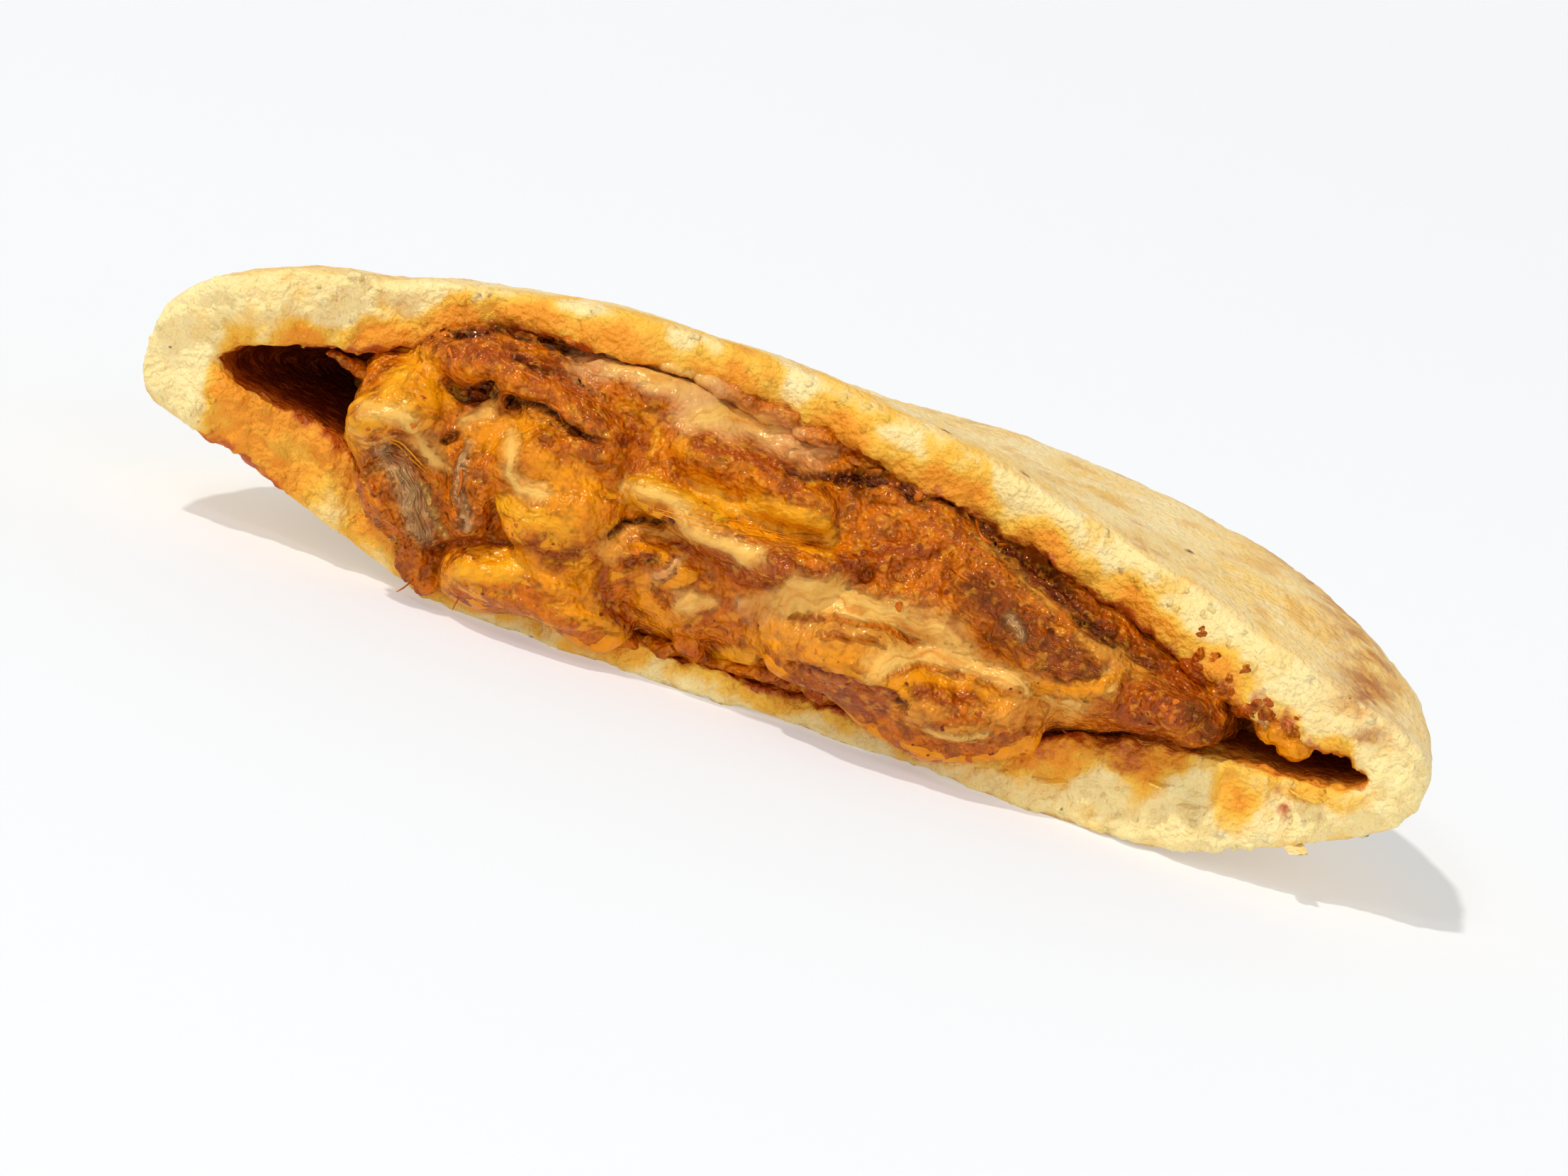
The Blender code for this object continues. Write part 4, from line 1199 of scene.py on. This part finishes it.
class PUPUSA_OT_stew(bpy.types.Operator):
    """Shape the stew that fills the crust, lumpy with sauce at the break"""

    bl_idname = "pupusa.stew"
    bl_label = "Stew"

    def execute(self, context):
        looks = context.scene.pupusa_filling
        piece = merged_copy("stew", "saucy_stew")
        remesh(piece, looks.stew_grain)
        smooth(piece, 4)
        swell(piece, looks.swell)
        points = points_of(piece)
        front = make_group(piece, "front", step(BREAK_Y + 22 * MM, BREAK_Y + 12 * MM, points[:, 1]))
        relief(piece, clouds("stew lumps", 3.4 * MM, 2), 1.5 * MM, front)
        relief(piece, clouds("stew grain", 1.1 * MM, 2), 0.6 * MM, front)
        piece.vertex_groups.clear()
        thin_hidden(piece, step(BREAK_Y + 16 * MM, BREAK_Y + 22 * MM, points[:, 1]), 0.72)
        lay_streaks(piece, looks, "orange", 0.2)
        paint_hollow_shade(piece, 14, 0.01 * MM, 0.22 * MM)
        finish_piece(piece, filling_material("saucy stew", looks, 0.2, 0.12), "stew", "stew")
        return {"FINISHED"}


class PUPUSA_OT_beef(bpy.types.Operator):
    """Shape the pieces of stewed beef, with their fibres"""

    bl_idname = "pupusa.beef"
    bl_label = "Beef"

    def execute(self, context):
        looks = context.scene.pupusa_filling
        material = filling_material("stewed beef", looks, 0.1, 0.08)
        for seed, node in enumerate(BEEF_NODES):
            piece = merged_copy(node, node.replace("beef", "stewed_beef"))
            turn = flow_turn(node)
            remesh(piece, looks.lump_grain)
            smooth(piece, 3)
            swell(piece, looks.swell)
            flow_relief(piece, turn, 7 * MM, 2.2 * MM, 0.9 * MM, seed=seed)
            flow_relief(piece, turn, 6 * MM, 0.9 * MM, 0.85 * MM, ridged=True, seed=seed + 9)
            relief(piece, clouds("beef shreds", 1.2 * MM, 2), 0.8 * MM)
            lay_streaks(piece, looks, "orange", 0.1)
            paint_hollow_shade(piece, 12, 0.01 * MM, 0.2 * MM)
            finish_piece(piece, material, "beef", node)
        return {"FINISHED"}


class PUPUSA_OT_cheese(bpy.types.Operator):
    """Shape the lumps, bands and rolls of melted cheese"""

    bl_idname = "pupusa.cheese"
    bl_label = "Cheese"

    def execute(self, context):
        looks = context.scene.pupusa_filling
        material = filling_material("melted cheese", looks, 0.0, 0.25)
        for seed, node in enumerate(CHEESE_NODES):
            piece = merged_copy(node, node.replace("cheese", "melted_cheese"))
            turn = flow_turn(node)
            remesh(piece, looks.lump_grain)
            smooth(piece, 4)
            swell(piece, looks.swell)
            flow_relief(piece, turn, 8 * MM, 3.4 * MM, 1.5 * MM, seed=seed + 20)
            flow_relief(piece, turn, 9 * MM, 1.5 * MM, 0.45 * MM, seed=seed + 40)
            relief(piece, clouds("cheese skin", 2.2 * MM, 1), 0.35 * MM)
            smooth(piece, 2)
            lay_streaks(piece, looks, "gold", 0.0)
            paint_hollow_shade(piece, 12, 0.01 * MM, 0.17 * MM)
            finish_piece(piece, material, "cheese", node)
        return {"FINISHED"}


class PUPUSA_OT_sauce(bpy.types.Operator):
    """Run sauce into the creases between the lumps, and lay grains of it over them"""

    bl_idname = "pupusa.sauce"
    bl_label = "Sauce"

    MOUTH = ((-36, 38), (2, 25))  # the part of the broken face that the grains fall on, along and in height
    # Bits that hang or lie over the lips: along, height and depth, then half the width, depth and height
    BITS = (
        (36.4, 15.6, 0.8, 1.6, 1.5, 1.0),
        (39.0, 14.9, 0.6, 1.8, 1.5, 1.1),
        (41.6, 14.2, 0.5, 1.7, 1.6, 1.2),
        (44.2, 13.2, 0.3, 1.9, 1.6, 1.4),
        (46.2, 12.2, 0.2, 1.7, 1.5, 1.5),
        (-41.4, 17.6, 3.2, 2.0, 1.0, 0.45),
        (-39.6, 17.0, 3.2, 1.8, 1.2, 0.6),
        (-29.8, 3.8, -0.5, 1.9, 1.5, 2.2),
        (-28.7, 2.4, -0.8, 1.4, 1.2, 1.4),
        (-5.4, 4.4, -0.6, 1.7, 1.5, 1.4),
        (1.8, 3.9, -0.2, 1.5, 1.3, 1.1),
        (6.5, 3.6, 0.2, 1.7, 1.3, 1.0),
        (33.4, 9.6, 0.8, 1.9, 1.6, 1.2),
        (35.6, 8.6, 0.4, 1.2, 1.2, 0.9),
    )
    # Sauce that lines the top lip and the bottom one, given in the same way
    LINING = (
        (-27.0, 24.8, 2.4, 2.8, 2.2, 1.1),
        (-22.5, 25.8, 2.0, 3.0, 2.2, 1.2),
        (-18.0, 26.4, 1.6, 3.0, 2.2, 1.2),
        (-13.5, 26.6, 1.4, 3.0, 2.2, 1.2),
        (-9.0, 26.1, 1.4, 3.0, 2.2, 1.2),
        (-4.5, 25.3, 1.4, 3.0, 2.2, 1.1),
        (0.0, 24.5, 1.6, 3.0, 2.2, 1.0),
        (4.5, 23.8, 2.2, 3.0, 2.2, 0.9),
        (-11.0, 2.6, 0.9, 2.2, 1.8, 0.8),
        (-7.5, 2.9, 0.8, 2.0, 1.8, 0.8),
        (-4.0, 3.1, 0.9, 2.2, 1.8, 0.8),
        (-0.5, 3.4, 0.8, 2.0, 1.8, 0.7),
        (3.5, 3.6, 0.9, 2.2, 1.8, 0.8),
        (7.0, 3.7, 0.8, 2.0, 1.8, 0.8),
        (10.5, 3.8, 0.9, 2.2, 1.8, 0.7),
    )

    def execute(self, context):
        looks = context.scene.pupusa_filling
        self.creases(looks)
        surface = surface_of([piece.data for piece in made_pieces("saucy", "stewed", "melted")])
        amounts = context.scene.pupusa_trimmings
        self.bits(looks)
        self.grains(looks, surface, amounts.grains)
        self.flecks(surface, amounts.flecks)
        return {"FINISHED"}

    def creases(self, looks):
        """A softened copy of the whole filling, which shows only in the creases that softening fills."""
        copies = []
        for piece in made_pieces("saucy", "stewed", "melted"):
            copy = bpy.data.objects.new("copy", piece.data.copy())
            bpy.context.collection.objects.link(copy)
            copies.append(copy)
        piece = join("sauce_in_creases", copies)
        piece.data.materials.clear()
        for name in PAINTED:
            if name in piece.data.attributes:
                piece.data.attributes.remove(piece.data.attributes[name])
        remesh(piece, looks.stew_grain)
        make_active(piece)
        bpy.ops.object.mode_set(mode="EDIT")
        bpy.ops.mesh.select_all(action="SELECT")
        back = BREAK_Y + 9 * MM
        bpy.ops.mesh.bisect(plane_co=(0, back, 0), plane_no=(0, 1, 0), clear_outer=True, use_fill=True)
        bpy.ops.object.mode_set(mode="OBJECT")
        smooth(piece, 22)
        swell(piece, 0.08 * MM)
        relief(piece, clouds("sauce ripples", 1.4 * MM, 2), 0.35 * MM)
        lay_streaks(piece, looks, "orange", 0.1)
        paint_hollow_shade(piece, 14, 0.08 * MM, 0.6 * MM)
        finish_piece(piece, filling_material("sauce in the creases", looks, 0.1, 0.15), "stew")

    def bits(self, looks):
        """The drip and crumbly tongue under the top lip, and the lumps that lie over the bottom one."""
        lumps = []
        for index, (along, height, depth, wide, deep, tall) in enumerate(self.BITS + self.LINING):
            lump = rough_pebble(index * 2.7, ragged=0.5)
            lump.location = face_point(along, height, depth)
            lump.scale = Vector((wide, deep, tall)) * MM
            lumps.append(lump)
        piece = join("hanging_sauce", lumps)
        remesh(piece, 0.28 * MM)
        smooth(piece, 4)
        relief(piece, clouds("bit crumb", 1.2 * MM, 2), 0.7 * MM)
        lay_streaks(piece, looks, "orange", 0.1)
        paint_hollow_shade(piece, 12, 0.01 * MM, 0.2 * MM)
        finish_piece(piece, filling_material("hanging sauce", looks, 0.0, 0.2), "stew")

    def random_spots(self, draw, surface, wanted, accept):
        """Places on the filling's front, at most one for each draw that the rule accepts."""
        found = []
        (left, right), (low, high) = self.MOUTH
        while len(found) < wanted:
            along, height = draw.uniform(left, right), draw.uniform(low, high)
            if accept(along, height) < draw.random():
                continue
            hit = onto(surface, along, height)
            if hit and hit[0].y < BREAK_Y + 8 * MM:
                found.append(hit)
        return found

    def grains(self, looks, surface, wanted):
        """Small grains of sauce, in clumps."""
        draw = random.Random(11)
        templates = [rough_pebble(seed, 0.75) for seed in range(4)]
        spots = []

        def clumped(along, height):
            return max(noise.noise(Vector((along, 3, height)) / 6) * 1.6 + 0.35, 0.02)

        for place, normal in self.random_spots(draw, surface, wanted, clumped):
            size = draw.uniform(0.3, 0.62) ** 1.7 * MM
            stretch = (size * draw.uniform(0.8, 1.5), size, size)
            spots.append((place - normal * size * 0.5, normal, stretch, draw.uniform(0, 6), {}))
        piece = scatter("sauce_grains", templates, spots)
        discard(templates)
        material = plain_wet_material("sauce grains", looks.orange, looks.rust, 2 * MM, 0.14)
        finish_piece(piece, material, "stew")

    def flecks(self, surface, wanted):
        """Thin flecks of chile, more of them towards the right."""
        draw = random.Random(5)
        templates = [thin_flake(seed, 0.2) for seed in range(3)]
        spots = []
        for place, normal in self.random_spots(draw, surface, wanted, lambda along, height: 0.5 + along / 90):
            size = draw.uniform(0.16, 0.4) * MM
            lean = (normal + Vector((draw.uniform(-1, 1), 0, draw.uniform(-1, 1))) * 0.25).normalized()
            spots.append((place + normal * 0.04 * MM, lean, (size, size, size), draw.uniform(0, 6), {}))
        piece = scatter("chile_flecks", templates, spots)
        discard(templates)
        red, black = from_screen(150, 34, 4), from_screen(66, 26, 10)
        finish_piece(piece, plain_wet_material("chile flecks", red, black, 2 * MM, 0.3), "stew")


class PUPUSA_OT_shreds(bpy.types.Operator):
    """Lay fibres along the beef, and draw threads of cheese across the filling"""

    bl_idname = "pupusa.shreds"
    bl_label = "Shreds and threads"

    # How many fibres lie on each piece of beef, and how far their tips lift off it, in millimetres
    FIBRES = {
        "beef_chunk": (5, 0.1),
        "beef_flap": (9, 0.4),
        "beef_mass": (7, 0.2),
        "beef_ribbon": (5, 0.2),
        "beef_strip": (3, 0.1),
    }
    # Threads of cheese: from, to, how many, how far they fan out, half width
    THREADS = (
        ((-13.0, 15.6), (3.0, 16.8), 3, 0.6, 0.045),
        ((-35.0, 14.4), (-30.2, 11.8), 2, 0.4, 0.08),
    )
    # Loose hairs of beef that hang from the filling over the bottom lip, each as (along, height, depth)
    HAIRS = (
        ((-29.4, 2.6, -1.2), (-29.7, 1.9, -2.0), (-30.1, 1.3, -2.4), (-30.5, 0.9, -2.7)),
        ((-25.4, 2.4, -1.6), (-25.3, 1.8, -2.1), (-25.4, 1.3, -2.3), (-25.4, 0.9, -2.5)),
    )

    def execute(self, context):
        looks = context.scene.pupusa_filling
        strand = unit_strand()
        draw = random.Random(23)
        fibres = []
        for node, (wanted, lift) in self.FIBRES.items():
            surface = surface_of([bpy.data.objects[node.replace("beef", "stewed_beef")].data])
            fibres += self.lay_fibres(draw, strand, node, surface, wanted, lift)
        for path in self.HAIRS:
            fibres.append(lay_strand(strand, [face_point(*place) for place in path], 0.08 * MM))
        piece = join("beef_fibres", fibres)
        material = plain_wet_material("beef fibres", looks.orange, looks.rust, 3 * MM, 0.18)
        finish_piece(piece, material, "beef")
        surface = surface_of([piece.data for piece in made_pieces("saucy", "stewed", "melted", "sauce_in")])
        threads = []
        for start, end, wanted, fan, radius in self.THREADS:
            threads += self.draw_threads(draw, strand, surface, start, end, wanted, fan, radius)
        piece = join("cheese_threads", threads)
        material = plain_wet_material("cheese threads", looks.yellow, looks.gold, 5 * MM, 0.16)
        finish_piece(piece, material, "cheese")
        discard([strand])
        return {"FINISHED"}

    def lay_fibres(self, draw, strand, node, surface, wanted, lift):
        """Fibres that run the way that a piece of beef runs, on its surface."""
        turn = flow_turn(node)
        low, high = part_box(node)
        middle = (low + high) / 2
        main = Vector((math.cos(turn), 0, math.sin(turn)))
        cross = Vector((-main.z, 0, main.x))
        reach = max((high.x - low.x) * abs(main.x), (high.z - low.z) * abs(main.z)) / 2
        breadth = min(high.x - low.x, high.z - low.z) / 2
        laid = []
        for _ in range(wanted * 6):
            if len(laid) == wanted:
                break
            centre = draw.uniform(-0.8, 0.8) * reach
            half = draw.uniform(1.4, 3.4) * MM
            across = draw.uniform(-1, 1) * breadth
            lean = draw.uniform(-0.25, 0.25)
            wave = draw.uniform(-1.3, 1.3) * MM
            path = []
            for k in range(6):
                t = k / 5 * 2 - 1
                spot = middle + main * (centre + half * t) + cross * (across + lean * half * t + wave * t * t)
                hit = onto(surface, spot.x / MM, spot.z / MM, 0.03 * MM)
                if hit:
                    path.append(hit[0] - Vector((0, lift * MM * t**4 * draw.random(), 0)))
            if len(path) >= 4:
                laid.append(lay_strand(strand, path, draw.uniform(0.1, 0.2) * MM, 0.7))
        return laid

    def draw_threads(self, draw, strand, surface, start, end, wanted, fan, radius):
        """Threads of cheese from one place to another, fanned out between them."""
        laid = []
        for index in range(wanted):
            side = (index + 0.5) / wanted * 2 - 1
            shift = side * fan * draw.uniform(0.7, 1.2)
            path = []
            for k in range(7):
                t = k / 6
                along = start[0] + (end[0] - start[0]) * t
                height = start[1] + (end[1] - start[1]) * t + shift * math.sin(math.pi * (0.12 + 0.8 * t))
                hit = onto(surface, along, height, draw.uniform(-0.05, 0.08) * MM)
                if hit:
                    path.append(hit[0])
            if len(path) >= 4:
                laid.append(lay_strand(strand, path, radius * draw.uniform(0.6, 1.4) * MM, 0.6))
        return laid


class PUPUSA_OT_crumbs(bpy.types.Operator):
    """Cling crumbs and flakes to the torn lips, and rusty ones by the slit"""

    bl_idname = "pupusa.crumbs"
    bl_label = "Crumbs and flakes"

    # Rusty crumbs by the slit, as (along, height, spread, how many)
    RUSTY = ((33.0, 9.8, 2.8, 22), (29.0, 8.0, 2.4, 14), (38.5, 14.4, 3.6, 22), (44.0, 13.2, 3.6, 26))

    def execute(self, context):
        looks = context.scene.pupusa_crust
        amounts = context.scene.pupusa_trimmings
        crust = bpy.data.objects["griddled_crust"]
        draw = random.Random(42)
        values = {name: self.read(crust, name) for name in ("torn", "oil", "sauce")}
        points, normals = points_of(crust), normals_of(crust)
        pebbles = [rough_pebble(seed, 0.8, 0.6) for seed in range(5)]
        on_lips = (values["torn"] > 0.6) & (points[:, 1] < BREAK_Y + 3 * MM) & (points[:, 2] > 1.2 * MM)
        lips = np.flatnonzero(on_lips & (np.abs(points[:, 0]) < 53 * MM))
        spots = self.spots_on(draw, lips, points, normals, values, amounts.crumbs, (0.2, 0.5), 0.8)
        piece = scatter("lip_crumbs", pebbles, spots)
        finish_piece(piece, masa_material("crumbs", looks, griddled=False), "masa")
        flakes = [thin_flake(seed) for seed in range(5)]
        along, height = points[lips, 0] / MM, points[lips, 2] / MM
        ends = lips[(along > 18) & (along < 54) & (height > 3) & (height < 9)]
        sizes = (1.2, 2.8)
        spots = self.spots_on(draw, ends, points, normals, values, amounts.flakes, sizes, 0.5, layered=True)
        piece = scatter("torn_flakes", flakes, spots)
        finish_piece(piece, masa_material("flakes", looks, griddled=False), "masa")
        self.rusty(context, draw, pebbles)
        discard(pebbles + flakes)
        return {"FINISHED"}

    def read(self, piece, name):
        """The values painted on a piece under a name."""
        found = np.empty(len(piece.data.vertices), np.float32)
        piece.data.attributes[name].data.foreach_get("value", found)
        return found

    def spots_on(self, draw, allowed, points, normals, values, wanted, sizes, thickness, layered=False):
        """Spots for scattering, drawn from the allowed points, with the crust's own paint there."""
        spots = []
        for index in draw.sample(allowed.tolist(), min(wanted, len(allowed))):
            size = draw.uniform(*sizes) * MM
            normal = Vector(normals[index])
            facing = Vector((draw.uniform(-0.3, 0.3), draw.uniform(-0.4, 0.1), 1)) if layered else normal
            facing = facing.normalized()
            place = Vector(points[index]) - normal * size * (0.0 if layered else 0.35)
            painted_values = {name: float(values[name][index]) for name in ("oil", "sauce")}
            stretch = (size * draw.uniform(0.8, 1.4), size * draw.uniform(0.7, 1.1), size * thickness)
            spots.append((place, facing, stretch, draw.uniform(0, 6), painted_values))
        return spots

    def rusty(self, context, draw, pebbles):
        """Crumbs soaked with sauce, by the slit."""
        looks = context.scene.pupusa_filling
        surface = surface_of([piece.data for piece in made_pieces("griddled", "saucy", "stewed", "melted")])
        spots = []
        for along, height, spread, wanted in self.RUSTY:
            for _ in range(wanted):
                hit = onto(surface, draw.gauss(along, spread / 2), draw.gauss(height, spread / 3))
                if hit and hit[0].y < BREAK_Y + 6 * MM:
                    size = draw.uniform(0.25, 0.65) * MM
                    stretch = (size * draw.uniform(0.8, 1.6), size, size * 0.6)
                    spots.append((hit[0] - hit[1] * size * 0.3, hit[1], stretch, draw.uniform(0, 6), {}))
        piece = scatter("sauce_crumbs", pebbles, spots)
        lay_streaks(piece, looks, "orange", 0.1)
        set_attribute(piece.data, "hollow", [0.0] * len(piece.data.vertices))
        finish_piece(piece, filling_material("sauce crumbs", looks, 0.0, 0.1), "stew")


class PUPUSA_OT_stage(bpy.types.Operator):
    """Lay the pale floor, hang the soft lights and place the camera"""

    bl_idname = "pupusa.stage"
    bl_label = "Floor, lights and camera"

    TARGET = Vector((1.0, -25.0, 11.3)) * MM

    def execute(self, context):
        setting = context.scene.pupusa_stage
        self.floor(setting)
        self.sky(context.scene)
        self.key_light()
        self.fill_light("fill_light", (0.2, -0.8, 0.35), 0.9, 1.3)
        self.fill_light("glint_light", (-0.30, -0.52, 0.60), 0.12, 0.6)
        self.camera(context.scene, setting)
        context.scene.view_settings.view_transform = "Standard"
        return {"FINISHED"}

    def floor(self, setting):
        deselect()
        bpy.ops.mesh.primitive_grid_add(x_subdivisions=60, y_subdivisions=60, size=8)
        floor = bpy.context.active_object
        floor.name = floor.data.name = "pale_floor"
        for vertex in floor.data.vertices:
            beyond = max(math.hypot(vertex.co.x, vertex.co.y) - 2.0, 0.0)
            vertex.co.z = 0.6 * beyond**2
        bpy.ops.object.shade_smooth()
        made, tree, shader = new_material("pale floor")
        wash = between(tree, noise_at(tree, object_place(tree), 0.4, 2), 0.3, 0.7)
        tone = tuple(c * 0.985 for c in setting.floor)
        tree.links.new(blend(tree, wash, setting.floor[:], tone), shader.inputs["Base Color"])
        set_shader(shader, Roughness=0.9, Specular_IOR_Level=0.1)
        set_shader(shader, Emission_Color=(*setting.floor, 1.0), Emission_Strength=setting.glow)
        floor.data.materials.append(made)
        floor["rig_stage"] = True

    def sky(self, scene):
        world = bpy.data.worlds.new("soft white room")
        scene.world = world
        world.use_nodes = True
        background = world.node_tree.nodes["Background"]
        background.inputs["Color"].default_value = (0.97, 0.98, 1.0, 1)
        background.inputs["Strength"].default_value = 0.3

    def key_light(self):
        bpy.ops.object.light_add(type="SUN", location=(-0.4, -0.33, 0.8))
        key = bpy.context.active_object
        key.name = "key_light"
        key.data.energy = 1.7
        key.data.angle = math.radians(3)
        key.data.color = (1.0, 0.985, 0.95)
        key.rotation_euler = (self.TARGET - key.location).to_track_quat("-Z", "Y").to_euler()

    def fill_light(self, name, place, size, watts):
        bpy.ops.object.light_add(type="AREA", location=place)
        fill = bpy.context.active_object
        fill.name = name
        fill.data.size = size
        fill.data.energy = watts
        fill.data.color = (1.0, 0.99, 0.97)
        fill.rotation_euler = (self.TARGET - fill.location).to_track_quat("-Z", "Y").to_euler()

    def camera(self, scene, setting):
        turn, rise = setting.azimuth, setting.elevation
        back = Vector((math.sin(turn) * math.cos(rise), -math.cos(turn) * math.cos(rise), math.sin(rise)))
        aim = (-back).to_track_quat("-Z", "Y").to_matrix().to_4x4()
        bpy.ops.object.camera_add(location=self.TARGET + back * setting.distance)
        camera = bpy.context.active_object
        camera.rotation_euler = (aim @ Matrix.Rotation(setting.roll, 4, "Z")).to_euler()
        camera.data.lens = setting.lens
        camera.data.sensor_width = 36
        camera.data.clip_start = 0.01
        scene.camera = camera


STEPS = (
    PUPUSA_OT_crust,
    PUPUSA_OT_stew,
    PUPUSA_OT_beef,
    PUPUSA_OT_cheese,
    PUPUSA_OT_sauce,
    PUPUSA_OT_shreds,
    PUPUSA_OT_crumbs,
    PUPUSA_OT_stage,
)
SETTINGS = {
    "pupusa_crust": CrustSettings,
    "pupusa_filling": FillingSettings,
    "pupusa_trimmings": TrimmingSettings,
    "pupusa_stage": StageSettings,
}


class PUPUSA_PT_sidebar(bpy.types.Panel):
    """The steps of the pupusa, in order"""

    bl_label = "Stuffed pupusa"
    bl_idname = "PUPUSA_PT_sidebar"
    bl_space_type = "VIEW_3D"
    bl_region_type = "UI"
    bl_category = TAB

    def draw(self, context):
        for step_class in STEPS:
            self.layout.operator(step_class.bl_idname)
        for name, group in SETTINGS.items():
            box = self.layout.box()
            for key in group.__annotations__:
                box.prop(getattr(context.scene, name), key)


def register():
    for group in SETTINGS.values():
        bpy.utils.register_class(group)
    for operator in STEPS:
        bpy.utils.register_class(operator)
    bpy.utils.register_class(PUPUSA_PT_sidebar)
    for name, group in SETTINGS.items():
        setattr(bpy.types.Scene, name, bpy.props.PointerProperty(type=group))


def unregister():
    for name in SETTINGS:
        delattr(bpy.types.Scene, name)
    bpy.utils.unregister_class(PUPUSA_PT_sidebar)
    for operator in reversed(STEPS):
        bpy.utils.unregister_class(operator)
    for group in reversed(SETTINGS.values()):
        bpy.utils.unregister_class(group)


def main():
    register()
    bpy.ops.pupusa.crust()
    bpy.ops.pupusa.stew()
    bpy.ops.pupusa.beef()
    bpy.ops.pupusa.cheese()
    bpy.ops.pupusa.sauce()
    bpy.ops.pupusa.shreds()
    bpy.ops.pupusa.crumbs()
    bpy.ops.pupusa.stage()
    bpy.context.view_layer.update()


if __name__ == "__main__":
    main()
